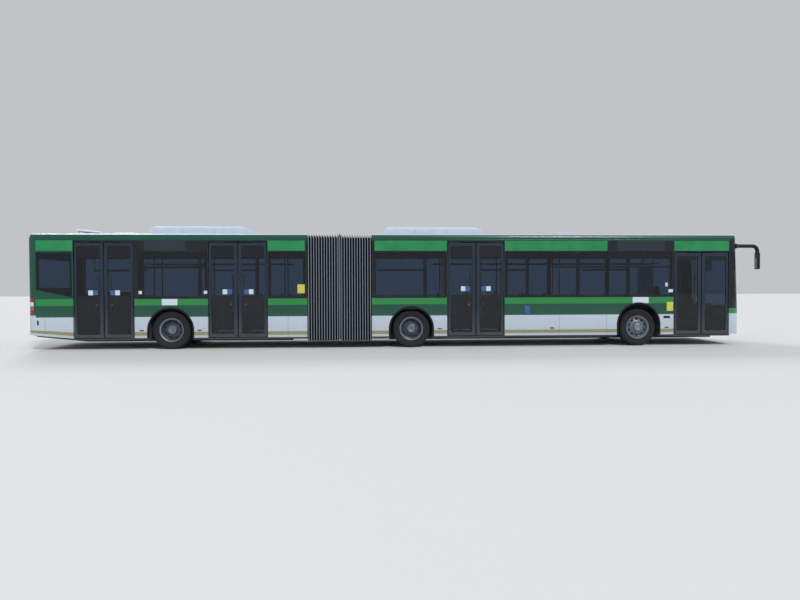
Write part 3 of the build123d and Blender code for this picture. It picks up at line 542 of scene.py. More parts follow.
# ---------------- wheels
tyre = {
    "width": 0.275, "twinStep": 0.31, "grooves": (0.072, 0.026),
    "wall": [
        (0.118, 0.302), (0.124, 0.306), (0.128, 0.322), (0.126, 0.332), (0.132, 0.36), (0.1372, 0.395),
        (0.136, 0.42), (0.131, 0.44), (0.129, 0.441), (0.126, 0.452), (0.118, 0.463), (0.112, 0.4705),
    ],
}
rimFlange = [(0.020, 0.3), (0.012, 0.297), (0.012, 0.289), (0.022, 0.283)]
frontRim = {
    "profile": rimFlange + [
        (0.032, 0.262), (0.052, 0.252), (0.075, 0.248), (0.086, 0.235), (0.088, 0.215), (0.072, 0.185),
        (0.056, 0.168), (0.052, 0.155), (0.053, 0.115), (0.05, 0.105), (0.03, 0.103), (0.012, 0.097),
        (0.006, 0.085), (0.005, 0.06), (0.009, 0.055), (0.009, 0.02), (0.006, 0.012), (0.006, 0.0015),
    ],
    "hubFace": 0.05, "nutAt": 0.0525, "depth": 0.27, "holes": 10, "holeAt": 0.068,
}
twinRim = {
    "profile": rimFlange + [
        (0.03, 0.266), (0.06, 0.258), (0.11, 0.253), (0.135, 0.246), (0.142, 0.232), (0.134, 0.2),
        (0.128, 0.18), (0.126, 0.165), (0.127, 0.125), (0.12, 0.112), (0.075, 0.108), (0.062, 0.103),
        (0.057, 0.093), (0.057, 0.06), (0.061, 0.055), (0.061, 0.0015),
    ],
    "hubFace": 0.12, "nutAt": 0.127, "depth": 0.55, "holes": 8, "holeAt": 0.1335,
}
nutCircle, holeCircle = 0.1335, 0.205


def addTyre(bm, x, side, offset):
    # Section from the outer bead over the tread to the inner bead and back; side +1 is the left wheel
    middle, outer = side * (wheelY - offset), list(tyre["wall"])
    for at in tyre["grooves"]:
        outer += [(at + 0.006, 0.4755), (at + 0.0045, 0.463), (at - 0.0045, 0.463), (at - 0.006, 0.4765)]
    section = [(middle + side * y, r) for y, r in outer] + [(middle - side * y, r) for y, r in outer[::-1]]
    section += [(middle - side * 0.118, 0.3005), (middle + side * 0.118, 0.3005)]
    addLathe(bm, section + section[:1], (x, 0, hubZ), 96)


def addRim(axle, x, hand, side, rim):
    face, body = side * (wheelY + tyre["width"] / 2), f"{axle}_wheel_{hand}"

    def turned(*profile):
        # Distances are inwards from the tyre's outer face
        return addLathe, [(face - side * d, r) for d, r in profile], (x, 0, hubZ), 72

    nutAt, depth, back = rim["nutAt"], rim["depth"], rim["hubFace"] + 0.03
    makePiece(
        f"{axle}_wheelDisc_{hand}", wheelSteel, body, "wheel_steel",
        turned((depth, 0.3), (depth, 0.285), (nutAt + 0.06, 0.27), (nutAt + 0.03, 0.2), (back, 0.1),
               (back, 0.0015)),
        turned(*rim["profile"]), turned((0.02, 0.3), (depth, 0.3)), replaced=[f"{axle}_rim_{hand}"], angle=40,
    )
    # Ten nuts with their washers
    bm = bmesh.new()
    for radius, low, high in ((0.0185, -0.004, 0.003), (0.0145, 0.003, 0.021), (0.009, 0.021, 0.031)):
        addPlate(bm, oval(radius, radius, 60), "Z", low, high, 0.0012)
    for vert in bm.verts:
        vert.co.z *= -side
    growPiece(
        f"{axle}_wheelNuts_{hand}", nutSteel, body, "wheel_steel", bm, ringOfCopies, Count=10, Radius=nutCircle,
        Centre=(x, face - side * nutAt, hubZ), Start=0.0,
    )
    # Hand holes: flat near-black ovals round the dish, painted shade standing in for the dark openings
    bm = bmesh.new()
    addPlate(bm, oval(0.019, 0.029, 24), "Z", -0.002, 0.002, 0.001)
    growPiece(
        f"{axle}_wheelHoleShade_{hand}", sealRubber, body, "wheel_steel", bm, ringOfCopies, Count=rim["holes"],
        Radius=holeCircle, Centre=(x, face - side * rim["holeAt"], hubZ), Start=0.31,
    )


for axle, x, rim in (("front", frontX, frontRim), ("middle", middleX, twinRim), ("rear", rearX, twinRim)):
    offsets = (0, tyre["twinStep"]) if rim is twinRim else (0,)
    for hand, side in hands:
        makePiece(
            f"{axle}_tyreTread_{hand}", rubber, f"{axle}_wheel_{hand}", "tyre_rubber",
            *[(addTyre, x, side, offset) for offset in offsets], replaced=[f"{axle}_tyre_{hand}"], angle=50,
        )
        addRim(axle, x, hand, side, rim)
print("wheels made")


# ---------------- bellows
bellows = {
    "folds": 12, "depth": 0.08, "top": 2.865, "foot": 0.19, "half": 1.23, "corner": 0.13, "hoop": 0.04,
    "clamp": 0.009, "sag": 0.62,
}


def foldTree():
    # Sweeps one fold over an arch: cloth dips in a soft valley each side of its ridge
    tree, given = newTree("bellowsFold", Reach="Float", Half="Float", Sag="Float", Corner="Float")
    path = output("GeometryNodeMeshToCurve", "Curve", {"Mesh": given["Geometry"]})
    fillet = {"Curve": path, "Count": 7, "Radius": given["Corner"], "Limit Radius": True}
    rounded = output("GeometryNodeFilletCurve", "Curve", fillet, mode="POLY")
    both = addNode(tree, "GeometryNodeJoinGeometry", {})
    for direction in (-1.0, 1.0):
        along = calc("MULTIPLY", given["Half"], direction)
        dip = {"X": calc("MULTIPLY", along, given["Sag"]), "Y": calc("MULTIPLY", given["Reach"], 0.75)}
        ends = {
            "Resolution": 6, "Start": (0, 0, 0), "Middle": output("ShaderNodeCombineXYZ", "Vector", dip),
            "End": output("ShaderNodeCombineXYZ", "Vector", {"X": along, "Y": given["Reach"]}),
        }
        half = output("GeometryNodeCurveQuadraticBezier", "Curve", ends)
        tree.links.new(half, both.inputs["Geometry"])
    sweep = {"Curve": rounded, "Profile Curve": both.outputs["Geometry"]}
    skin = output("GeometryNodeCurveToMesh", "Mesh", sweep)
    merge = {"Geometry": skin, "Distance": 0.0002}
    return endTree(tree, output("GeometryNodeMergeByDistance", "Geometry", merge), given["Material"])


bellowsFold = foldTree()


def archPoints(x, reach):
    # Inverted U that the fold follows, drawn at its ridge
    half = bellows["half"] - bellows["depth"] + reach
    top = bellows["top"] - bellows["depth"] + reach
    return [(x, -half, bellows["foot"]), (x, -half, top), (x, half, top), (x, half, bellows["foot"])]


def foldBlend(piece):
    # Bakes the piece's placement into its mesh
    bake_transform(piece)


def makeFold(x, label, halfWidth, replaced):
    bm = bmesh.new()
    arch = [bm.verts.new(p) for p in archPoints(x, bellows["depth"] - 0.004)]
    for a, b in zip(arch, arch[1:]):
        bm.edges.new((a, b))
    mesh = grow(
        bm, bellowsFold, Reach=bellows["depth"] - 0.006, Corner=bellows["corner"], Sag=bellows["sag"],
        Half=halfWidth, Material=cloth,
    )
    foldBlend(placePiece(mesh, f"fold_{label}", cloth, None, replaced, 60))
    # Aluminium clamp along the ridge
    outer = roundCorners(archPoints(x, bellows["depth"] + 0.001), bellows["corner"], 7, closed=False)
    inner = roundCorners(archPoints(x, bellows["depth"] - 0.016), bellows["corner"] - 0.016, 7, closed=False)
    wide = Vector((bellows["clamp"] / 2, 0, 0))
    rings = [[a - wide, a + wide, b + wide, b - wide] for a, b in zip(outer, inner)]
    clamp = makePiece(f"clamp_{label}", brushedAluminium, None, "hoop_aluminium", (addLoft, rings))
    foldBlend(clamp)


def makeBellows():
    gap = bellows["hoop"] / 2 + 0.001
    period = ((frontNeck - rearNeck) / 2 - gap - 0.001) / bellows["folds"]
    for direction, half in ((1, "front"), (-1, "rear")):
        for i in range(bellows["folds"]):
            replaced = ["bellows"] if half == "front" and i == 0 else ()
            x = pivotX + direction * (gap + (i + 0.5) * period)
            makeFold(x, f"{half}_{i + 1:02d}", period / 2, replaced)


makeBellows()
print("bellows made")


# ---------------- doors
tallDoor = {"top": 2.65, "glassTop": 2.57, "printLow": 2.3}
doors = {
    "door_1": {"x": middleX + 7.54, "car": "front_car", "top": 2.4, "glassTop": 2.31, "printLow": 2.21},
    "door_2": {"x": middleX + 1.647, "car": "front_car", "stickers": 1.43, **tallDoor},
    "door_3": {"x": middleX - 4.335, "car": "rear_car", "stickers": 1.37, **tallDoor},
    "door_4": {"x": middleX - 7.602, "car": "rear_car", "stickers": 1.355, **tallDoor},
}
leaf = {
    "bottom": 0.3, "portal": 1.45, "plane": -1.225, "thick": 0.032, "setback": 0.035, "stile": 0.062,
    "meeting": 0.088, "rail": 0.08, "pin": 0.357, "mechanism": -1.175, "bracket": 0.025, "grabs": (0.95, 1.85),
    "portalTop": 2.7,
}


def addLeaf(name, door, place, hand):
    # hand +1 is the rear leaf, which reaches forwards from its column
    x, top, glassTop = door["x"], door["top"], door["glassTop"]
    bottom, plane, bracket = leaf["bottom"], leaf["plane"], leaf["bracket"]
    columnX = x - hand * (leaf["portal"] / 2 + leaf["setback"])
    trailing, leading = x - hand * (leaf["portal"] / 2 - 0.01), x - hand * 0.006
    x0, x1 = sorted((trailing, leading))
    hung, meeting = (leaf["stile"], leaf["meeting"])[::hand]
    outer, inner = plane - leaf["thick"] / 2, plane + leaf["thick"] / 2
    body, sill = f"{name}_leaf_{place}", bottom + leaf["rail"]

    def opening(grown, low, radius):
        return rectangle(x0 + hung - grown, low, x1 - meeting + grown, glassTop + grown, radius, 5)

    # Aluminium frame with round inner corners, and the brackets of its column's arms and its guide
    pinX, guideX = columnX + hand * leaf["pin"], columnX + 2 * hand * leaf["pin"]
    outline = rectangle(x0 + 0.008, bottom, x1 - 0.008, top, 0.012, 5)
    makePiece(
        f"{name}_leafFrame_{place}", doorPaint, body, "door_frame",
        (addFrame, outline, opening(0, sill, 0.05), "Y", outer, inner),
        *[(addBlock, (at - bracket, inner, low), (at + bracket, leaf["mechanism"] + bracket, low + 0.04), 0.004)
          for at, low in ((pinX, bottom), (pinX, top - 0.04), (guideX, top - 0.04))],
        replaced=[body],
    )
    # Bonded pane, its top printed black on the outer face
    makePiece(
        f"{name}_leafPane_{place}", doorGlass, body, "glass",
        (addPlate, opening(0.012, sill - 0.012, 0.055), "Y", plane - 0.004, plane + 0.003),
    )
    makePiece(
        f"{name}_leafPrint_{place}", panelBlack, body, "black_plastic",
        (addPlate, opening(0.008, door["printLow"], 0.02), "Y", plane - 0.0052, plane - 0.0042),
    )
    # Rubber finger guards on both upright edges, a bulb at the meeting edge
    guards = []
    for edge, reach in ((leading, 0.011), (trailing, 0.009)):
        centre = edge - math.copysign(reach - 0.003, edge - (x0 + x1) / 2)
        ring = [(centre + u, plane + v) for u, v in oval(reach, 0.014, 30)]
        guards.append((addLoft, [[(u, v, z) for u, v in ring] for z in (bottom + 0.004, top - 0.004)]))
    makePiece(f"{name}_leafSeal_{place}", sealRubber, body, "door_frame", *guards)
    # Upright grab rail on the cabin side
    low, high = leaf["grabs"]
    grab = [(leading - hand * 0.13, inner + out, z) for out, z in (
        (-0.004, low), (0.055, low), (0.055, high), (-0.004, high),
    )]
    makePiece(f"{name}_leafRail_{place}", railPaint, body, "rail_tube", (addTube, grab, 0.014, 12, 0.04))
    # Two blank stickers and a round button by the meeting edge; the first door has neither
    if "stickers" not in door:
        return
    low = door["stickers"]
    for label, a, b, finish in (("Blue", 0.14, 0.262, stickerBlue), ("White", 0.262, 0.375, stickerWhite)):
        u0, u1 = sorted((leading - hand * a, leading - hand * b))
        makePiece(
            f"{name}_leafSticker{label}_{place}", finish, body, "glass",
            (addPlate, rectangle(u0, low, u1, low + 0.12, 0.008), "Y", plane - 0.0055, plane - 0.004),
        )
    profile = [(0.002, 0.0005), (-0.007, 0.012), (-0.009, 0.024), (-0.004, 0.033), (0.002, 0.034)]
    profile = [(plane - 0.005 + d, r) for d, r in profile]
    makePiece(
        f"{name}_leafButton_{place}", displayPanel, body, "door_frame",
        (addLathe, profile, (leading - hand * 0.175, 0, 1.1), 24),
    )


def addPortal(name, door):
    # Header over the leaves and upright trims beside them
    x, top, half = door["x"], door["top"], leaf["portal"] / 2
    trims = [sorted((x + side * half, x + side * (half + 0.014))) for side in (-1, 1)]
    makePiece(
        f"{name}_portalTrim", doorPaint, door["car"], "door_frame",
        (addBlock, (x - half, -1.249, top + 0.036), (x + half, -1.205, min(top + 0.06, leaf["portalTop"])), 0.004),
        *[(addBlock, (low, -1.2535, skirtLow), (high, -skinY, leaf["portalTop"]), 0.0015) for low, high in trims],
    )


for name, door in doors.items():
    for place, hand in (("rear", 1), ("front", -1)):
        addLeaf(name, door, place, hand)
    addPortal(name, door)
print("doors made")


# ---------------- side trim
# Stations are in metres from the middle axle, forward positive
panels = {"low": 2.452, "high": cantrailZ - 0.002, "sunk": 0.0015, "proud": 0.0025}
sidePanels = {
    "right": {
        "front_car": {"cantrail": [(-0.93, 0.905), (2.388, 5.05), (6.80, 8.28)], "display": [(5.31, 6.55)]},
        "rear_car": {"cantrail": [(-9.22, -8.343), (-3.594, -2.67)], "display": [(-6.62, -5.62)]},
    },
    "left": {
        "front_car": {"cantrail": [(-0.93, 1.5), (1.51, 4.0), (4.01, 6.2), (6.21, 8.28)]},
        "rear_car": {"cantrail": [(-9.13, -7.1), (-7.09, -4.9), (-4.89, -2.67)]},
    },
}


def onSide(side, span, radius, steps, sunk, proud, ease=0.0):
    # Plate on the side of the bus over a span of (rear, front, bottom, top)
    a, b, z0, z1 = span
    low, high = sorted((side * (sideY - sunk), side * (sideY + proud)))
    return addPlate, rectangle(middleX + a, z0, middleX + b, z1, radius, steps), "Y", low, high, ease


def addSideStrips(hand, side):
    for car, groups in sidePanels[hand].items():
        for kind, spans in groups.items():
            finish = cantrailGreen if kind == "cantrail" else displayPanel
            plates = [
                onSide(side, (a, b, panels["low"], panels["high"]), 0.006, 2, panels["sunk"], panels["proud"], 0.0008)
                for a, b in spans
            ]
            makePiece(f"{car}_{kind}Panel_{hand}", finish, car, "green_paint", *plates)


def addGutter(hand, side, car, low, high):
    # Drip rail at the foot of the roof: a J-shaped moulding
    section = [(0.0, 0.0), (0.008, 0.002), (0.0095, 0.012), (0.006, 0.02), (0.0, 0.024)]
    rings = [[(x, side * (skinY + u), 2.722 + v) for u, v in section] for x in (low, high)]
    makePiece(f"{car}_gutter_{hand}", roofPaint, car, "green_paint", (addLoft, rings))


# Middle x, half width, top, height of the arc's centre, car
arches = {
    "front": (frontX, 0.532, 1.082, 0.55, "front_car"), "middle": (middleX, 0.532, 0.976, hubZ, "front_car"),
    "rear": (rearX, 0.532, 1.006, hubZ, "rear_car"),
}


def archLine(x, half, top, centreZ, inset):
    # Outline of a wheel arch's edge from foot to foot
    points = [(x - half + inset, skirtLow), (x - half + inset, centreZ)]
    for step in range(1, 25):
        a = math.pi - step * math.pi / 25
        z = centreZ + (half - inset) * math.sin(a)
        points.append((x + (half - inset) * math.cos(a), min(z, top - inset)))
    return points + [(x + half - inset, centreZ), (x + half - inset, skirtLow)]


def addArchLip(axle, hand, side):
    x, half, top, centreZ, car = arches[axle]
    outer = archLine(x, half, top + 0.03, centreZ, -0.042)
    inner = archLine(x, half, top, centreZ, 0.002)
    rings = [
        [(a, side * skinY, za), (a, side * 1.255, za), (b, side * 1.258, zb), (b, side * 1.205, zb)]
        for (a, za), (b, zb) in zip(outer, inner)
    ]
    makePiece(f"{axle}_archLip_{hand}", sealRubber, car, "black_plastic", (addLoft, rings))


for hand, side in hands:
    addSideStrips(hand, side)
    addGutter(hand, side, "front_car", frontNeck + 0.01, frontJoint)
    addGutter(hand, side, "rear_car", rearJoint, rearNeck - 0.01)
    for axle in arches:
        addArchLip(axle, hand, side)
print("side trim made")


# ---------------- marks and fittings on the sides
def markersAt(*stations):
    return "markers", markerLens, 0.007, [(s, s + 0.1, 0.46, 0.49) for s in stations]


def seamsAt(low, stations, others=()):
    return "seams", sealRubber, 0.0005, [(s, s + 0.004, low, skirtHigh) for s in stations] + list(others)


# Label, finish, how far it stands proud, and spans of (rear, front, bottom, top)
sideMarks = {
    "right": {
        "front_car": [
            ("blankPanels", stickerWhite, 0.0012, [
                (5.72, 6.14, 1.102, 1.258), (6.66, 6.78, 1.38, 1.46), (6.58, 6.64, 1.53, 1.63),
            ]),
            ("blankYellow", stickerYellow, 0.0012, [(6.62, 6.79, 0.90, 1.13)]),
            ("blankBlue", stickerBlue, 0.0012, [(2.91, 3.03, 0.85, 1.05)]),
            markersAt(0.67, 3.56, 6.57),
            seamsAt(0.296, (3.80, 5.03), [(6.535, 6.705, 0.71, 0.77)]),
        ],
        "rear_car": [
            ("blankPanels", stickerWhite, 0.0012, [
                (-6.2, -5.82, 1.102, 1.258), (-6.76, -6.68, 1.38, 1.46), (-5.17, -5.09, 1.38, 1.46),
            ]),
            ("blankYellow", stickerYellow, 0.0012, [(-2.86, -2.68, 1.39, 1.61)]),
            markersAt(-6.74, -5.33),
            seamsAt(0.296, (-3.10,), [(-9.02, -9.016, 0.40, skirtHigh), (-9.21, -9.17, 0.62, 0.74)]),
        ],
    },
    "left": {
        "front_car": [markersAt(0.67, 3.56, 6.57), seamsAt(0.296, (1.3, 2.6, 3.8, 5.03, 6.9, 7.9))],
        "rear_car": [markersAt(-6.74, -5.33, -3.3), seamsAt(0.34, (-3.1, -4.2, -6.9, -7.15, -8.72))],
    },
}


def addSideMarks(hand, side):
    for car, groups in sideMarks[hand].items():
        for label, finish, proud, spans in groups:
            plates = [
                onSide(side, span, 0.0015 if span[1] - span[0] < 0.01 else 0.008, 3, 0.0005, proud)
                for span in spans
            ]
            slot = "red_lamp" if label == "markers" else "white_paint"
            makePiece(f"{car}_{label}_{hand}", finish, car, slot, *plates)


# Hopper windows: a tilting sash in the top of a pane, seen as a frame with a heavier bar below
hoppers = {
    "right": {"front_car": [(3.55, 5.03), (5.07, 6.74)], "rear_car": [(-6.75, -5.11)]},
    "left": {
        "front_car": [(-0.85, 0.6), (2.19, 3.68), (5.27, 6.76)], "rear_car": [(-8.97, -7.42), (-5.79, -4.27)],
    },
}


def addHoppers(hand, side):
    low, high = sorted((side * (sideY - 0.0002), side * (sideY + 0.0025)))
    handleLow, handleHigh = sorted((side * 1.218, side * 1.238))
    for car, spans in hoppers[hand].items():
        shapes = []
        for a, b in spans:
            x0, x1 = middleX + a + 0.03, middleX + b - 0.03
            middle = (x0 + x1) / 2
            outer = rectangle(x0, 2.035, x1, 2.385, 0.025)
            inner = rectangle(x0 + 0.018, 2.066, x1 - 0.018, 2.367, 0.015)
            shapes += [
                (addFrame, outer, inner, "Y", low, high), (addBlock, (x0, low, 2.016), (x1, high, 2.0345), 0.001),
                (addBlock, (middle - 0.03, handleLow, 2.34), (middle + 0.03, handleHigh, 2.362), 0.003),
            ]
        makePiece(f"{car}_hopperFrames_{hand}", blackPlastic, car, "black_plastic", *shapes)


def addLouvres(name, body, low, high, count, rise, start):
    # Column of slats, each a block between two corners about its own origin
    bm = bmesh.new()
    addBlock(bm, low, high, 0.0015)
    growPiece(
        name, panelBlack, body, "black_plastic", bm, rowOfCopies, Count=count, Step=(0, 0, rise), Start=start,
    )


for hand, side in hands:
    addSideMarks(hand, side)
    addHoppers(hand, side)
addLouvres(
    "engineGrille", "rear_car", (-0.5, -0.0005, -0.009), (0.5, 0.006, 0.009), 9, 0.031,
    (rearX - 1.94, skinY, 0.50),
)
print("side fittings made")


# ---------------- ends of the bus
nose = {
    "lean": 0.1, "leanFrom": 0.95, "roundFrom": 2.77, "round": 0.11, "bow": 0.06, "bowFrom": 0.45,
    "bowReach": 0.8, "corner": 0.28, "cornerFrom": 0.97,
}
tail = {"round": 0.13, "lift": 0.11, "corner": 0.155, "cornerFrom": 1.095}


def quarter(radius, reach):
    # How far a quarter round falls away at a reach along it
    return radius - math.sqrt(max(0.0, radius ** 2 - max(0.0, reach) ** 2))


def nosePlan(y):
    # Bowed across the middle with a round corner at each side
    bow = nose["bow"] * max(0.0, abs(y) - nose["bowFrom"]) / nose["bowReach"]
    return noseX - bow - quarter(nose["corner"], abs(y) - nose["cornerFrom"])


def noseDrop(z):
    # How far the front leans back at a height, and rounds into the roof
    lean = nose["lean"] * max(0.0, z - nose["leanFrom"]) / (roofZ - nose["leanFrom"])
    return lean + quarter(nose["round"], min(nose["round"], z - nose["roundFrom"]))


def noseAt(y, z):
    # The corners lean back with the middle, fading out towards the joint with the sides
    plan = nosePlan(y)
    return plan - noseDrop(z) * (plan - frontJoint) / (noseX - frontJoint)


def tailAt(y, z):
    # Rear surface, the same at every height: flat with round corners
    return tailX + quarter(tail["corner"], abs(y) - tail["cornerFrom"])


def leanCorner(v):
    # Takes a point of the CAD's front, which leans only in the middle, to where noseAt puts the surface
    was = min(nosePlan(v.y), noseX - noseDrop(v.z)) - frontJoint
    if was < 0.02 or v.x < frontJoint:
        return v
    return Vector((frontJoint + (v.x - frontJoint) * (noseAt(v.y, v.z) - frontJoint) / was, v.y, v.z))


def roundTail(v):
    # The top edge of the tail becomes a quarter round, square by square into arc by arc
    r = tail["round"]
    u, w = tailX + r - v.x, v.z - (roofZ - r)
    if u <= 0 or w <= 0:
        return v
    share = max(u, w) / math.hypot(u, w)
    return Vector((tailX + r - u * share, v.y, roofZ - r + w * share))


def liftTail(v):
    # The frame's overhang sweeps up with the skirt
    t = (livery["riseStart"] - v.x) / (livery["riseStart"] - tailX)
    return Vector((v.x, v.y, v.z + tail["lift"] * t)) if t > 0 and v.z < 0.3 else v


def addReshaped(name, node, move, cuts, finish, car):
    # A node's own surface, cut at the given planes (axis, place) so that it can bend, and moved
    bm = bmesh.new()
    bm.from_mesh(nodes[node].data)
    for axis, place in cuts:
        across = Vector([float(i == axis) for i in range(3)])
        parts = bm.verts[:] + bm.edges[:] + bm.faces[:]
        bmesh.ops.bisect_plane(bm, geom=parts, dist=1e-5, plane_co=across * place, plane_no=across)
    for vert in bm.verts:
        vert.co = move(vert.co)
    placePiece(toMesh(bm, name), name, finish, car, [node], 30)


frontCuts = [(2, z) for z in (0.95, 2.77, 2.8, 2.825, 2.845, 2.86, 2.872)]
tailCuts = [(2, roofZ - tail["round"] * k / 6) for k in range(1, 7)]
tailCuts += [(0, tailX + tail["round"] * k / 6) for k in range(1, 7)]
addReshaped("noseShell", "front_mask", leanCorner, frontCuts, nosePaint, "front_car")
addReshaped("noseGlass", "windscreen", leanCorner, frontCuts[:1], windowGlass, "front_car")
addReshaped("tailShell", "rear_mask", roundTail, tailCuts, tailPaint, "rear_car")
addReshaped(
    "rearFrame", "rear_underframe", liftTail, [(0, livery["riseStart"])], floorVinyl, "rear_car",
)


def addStrip(bm, surface, out, ends, levels, proud, depth=0.004, steps=16, upright=False):
    # Thin strip laid on an end of the bus, following its curve across it or, if upright, up it
    start, stop = levels if upright else ends
    rings = []
    for i in range(steps + 1):
        at = start + (stop - start) * i / steps
        corners = [(y, at) for y in ends] if upright else [(at, z) for z in levels]
        rings.append(
            [(surface(y, z) + out * proud, y, z) for y, z in corners]
            + [(surface(y, z) - out * depth, y, z) for y, z in corners[::-1]]
        )
    addLoft(bm, rings)


headlamp = {
    "low": 0.5605, "high": 0.7395, "inner": 0.801, "outer": 1.124, "z": 0.65, "bowls": ((0.882, 0.07), (1.033, 0.06)),
}


def addHeadlamp(hand, side):
    low, high = headlamp["low"], headlamp["high"]
    y0, y1 = ends = sorted((side * headlamp["inner"], side * headlamp["outer"]))
    rims = [(addStrip, noseAt, 1, ends, (z, z + 0.008), -0.002, 0.07, 12) for z in (low, high - 0.008)]
    rims += [(addStrip, noseAt, 1, (y, y + 0.008), (low, high), -0.002, 0.07, 2) for y in (y0, y1 - 0.008)]
    makePiece(
        f"headlampHousing_{hand}", blackPlastic, "front_car", "black_plastic",
        (addBlock, (noseX - 0.19, y0, low), (noseX - 0.18, y1, high), 0.002), *rims,
        replaced=["headlamps"] if side < 0 else (),
    )
    bowls = []
    for y, r in headlamp["bowls"]:
        profile = [
            (0.0, r + 0.006), (0.002, r), (-0.012, 0.92 * r), (-0.032, 0.68 * r), (-0.046, 0.38 * r),
            (-0.05, 0.013), (-0.026, 0.012), (-0.018, 0.008), (-0.016, 0.0005),
        ]
        bowls.append((addLathe, profile, (noseAt(y + r, 0.6) - 0.014, side * y, headlamp["z"]), 32, "X"))
    makePiece(f"headlampBowls_{hand}", reflector, "front_car", "clear_lamp", *bowls)
    cover = (addStrip, noseAt, 1, ends, (low, high), -0.0005)
    makePiece(f"headlampCover_{hand}", lampGlass, "front_car", "clear_lamp", cover)


wiper = {"pivots": {"left": 0.93, "right": -0.06}, "foot": 0.93, "blade": 0.86, "low": 1.005, "rise": 0.06}


def addWiper(label, y):
    foot, low = wiper["foot"], wiper["low"]

    def onScreen(reach, z, away):
        return noseAt(y - reach, z) + away, y - reach, z

    cap = [(-0.004, 0.026), (0.02, 0.024), (0.03, 0.018), (0.032, 0.0005)]
    arm = [
        onScreen(0, foot, 0.024), onScreen(0.09, foot + 0.05, 0.036), onScreen(0.47, low + 0.055, 0.036),
        onScreen(0.52, low + 0.04, 0.03),
    ]
    blade = [onScreen(0.06 + wiper["blade"] * i / 8, low + wiper["rise"] * i / 8, 0.019) for i in range(9)]
    makePiece(
        f"wiper_{label}", blackPlastic, "front_car", "black_plastic",
        (addLathe, cap, onScreen(0, foot, 0), 20, "X"), (addTube, arm, 0.0075, 8, 0.04),
        (addTube, blade, 0.0065, 8), (addTube, [(x - 0.0095, a, z) for x, a, z in blade], 0.0035, 6),
    )


# Label, finish, bottom and top of each lens in the lamp columns
tailLenses = (
    ("brake", redLens, 0.884, 0.984), ("turn", amberLens, 0.988, 1.088), ("reverse", whitePaint, 1.092, 1.19),
    ("fog", redLens, 1.194, 1.295),
)


def addTailLens(bm, side, low, high):
    # Lens bent round the body's corner
    out, back = tail["corner"] + 0.0005, tail["corner"] - 0.006
    rings = []
    for i in range(15):
        a = math.radians(90 * max(0, i - 1) / 13)
        flat = 0.004 if i == 0 else 0.0
        rings.append([
            (tailX + tail["corner"] - r * math.cos(a), side * (tail["cornerFrom"] - flat + r * math.sin(a)), z)
            for r, z in ((out, low), (out, high), (back, high), (back, low))
        ])
    addLoft(bm, rings)


def makeEnds():
    makePiece(
        "noseSeams", sealRubber, "front_car", "black_plastic",
        (addStrip, noseAt, 1, (-1.225, 1.225), (0.526, 0.531), 0.0006, 0.004, 60),
        (addStrip, noseAt, 1, (-0.0045, 0.0045), (0.975, 2.41), 0.0008, 0.004, 24, True),
        *[(addStrip, noseAt, 1, (y, y + 0.005), (0.30, 0.526), 0.0006, 0.004, 4, True) for y in (-0.56, 0.555)],
    )
    makePiece(
        "noseGrille", blackPlastic, "front_car", "black_plastic",
        *[(addStrip, noseAt, 1, (-0.5, 0.5), (0.335 + i * 0.03, 0.351 + i * 0.03), 0.005, 0.004, 12)
          for i in range(5)],
    )
    makePiece(
        "signPanel", displayPanel, "front_car", "black_plastic",
        (addBlock, (noseX - 0.2, -0.97, 2.465), (noseX - 0.185, 0.97, 2.725), 0.004),
    )
    for hand, side in hands:
        addHeadlamp(hand, side)
    for label, finish, low, high in tailLenses:
        makePiece(
            f"tailLens_{label}", finish, "rear_car", "red_lamp",
            *[(addTailLens, side, low, high) for side in (-1, 1)],
            replaced=["tail_lamps"] if label == "brake" else (),
        )
    for label, y in wiper["pivots"].items():
        addWiper(label, y)
    # Rear bumper seam, high-level lamp and reflectors
    makePiece(
        "tailSeam", sealRubber, "rear_car", "black_plastic",
        (addStrip, tailAt, -1, (-1.23, 1.23), (0.535, 0.54), 0.0006, 0.004, 60),
    )
    lamps = ((-0.22, 2.42, 0.22, 2.45), (-1.03, 0.44, -0.93, 0.48), (0.93, 0.44, 1.03, 0.48))
    makePiece(
        "tailReflectors", redLens, "rear_car", "red_lamp",
        *[(addPlate, rectangle(*lamp, 0.01), "X", tailX - 0.006, tailX + 0.001, 0.002) for lamp in lamps],
    )
    addLouvres("flapLouvres", "engine_flap", (-0.0055, -0.6, -0.008), (0.002, 0.6, 0.008), 12, 0.03, (tailX, 0, 0.66))
    lock = [(0.001, 0.022), (-0.004, 0.021), (-0.005, 0.0005)]
    makePiece(
        "flapLocks", brushedAluminium, "engine_flap", "column_steel",
        *[(addLathe, lock, (tailX, y, 0.62), 20, "X") for y in (-0.76, 0.76)],
    )


makeEnds()
print("ends made")


# ---------------- mirrors
mirror = {
    "x": noseX + 0.4317, "y": 1.15, "armZ": 2.58, "low": 1.975, "high": 2.4, "width": 0.26, "depth": 0.064,
    "turn": 15, "arm": 0.047, "bend": 0.3,
}


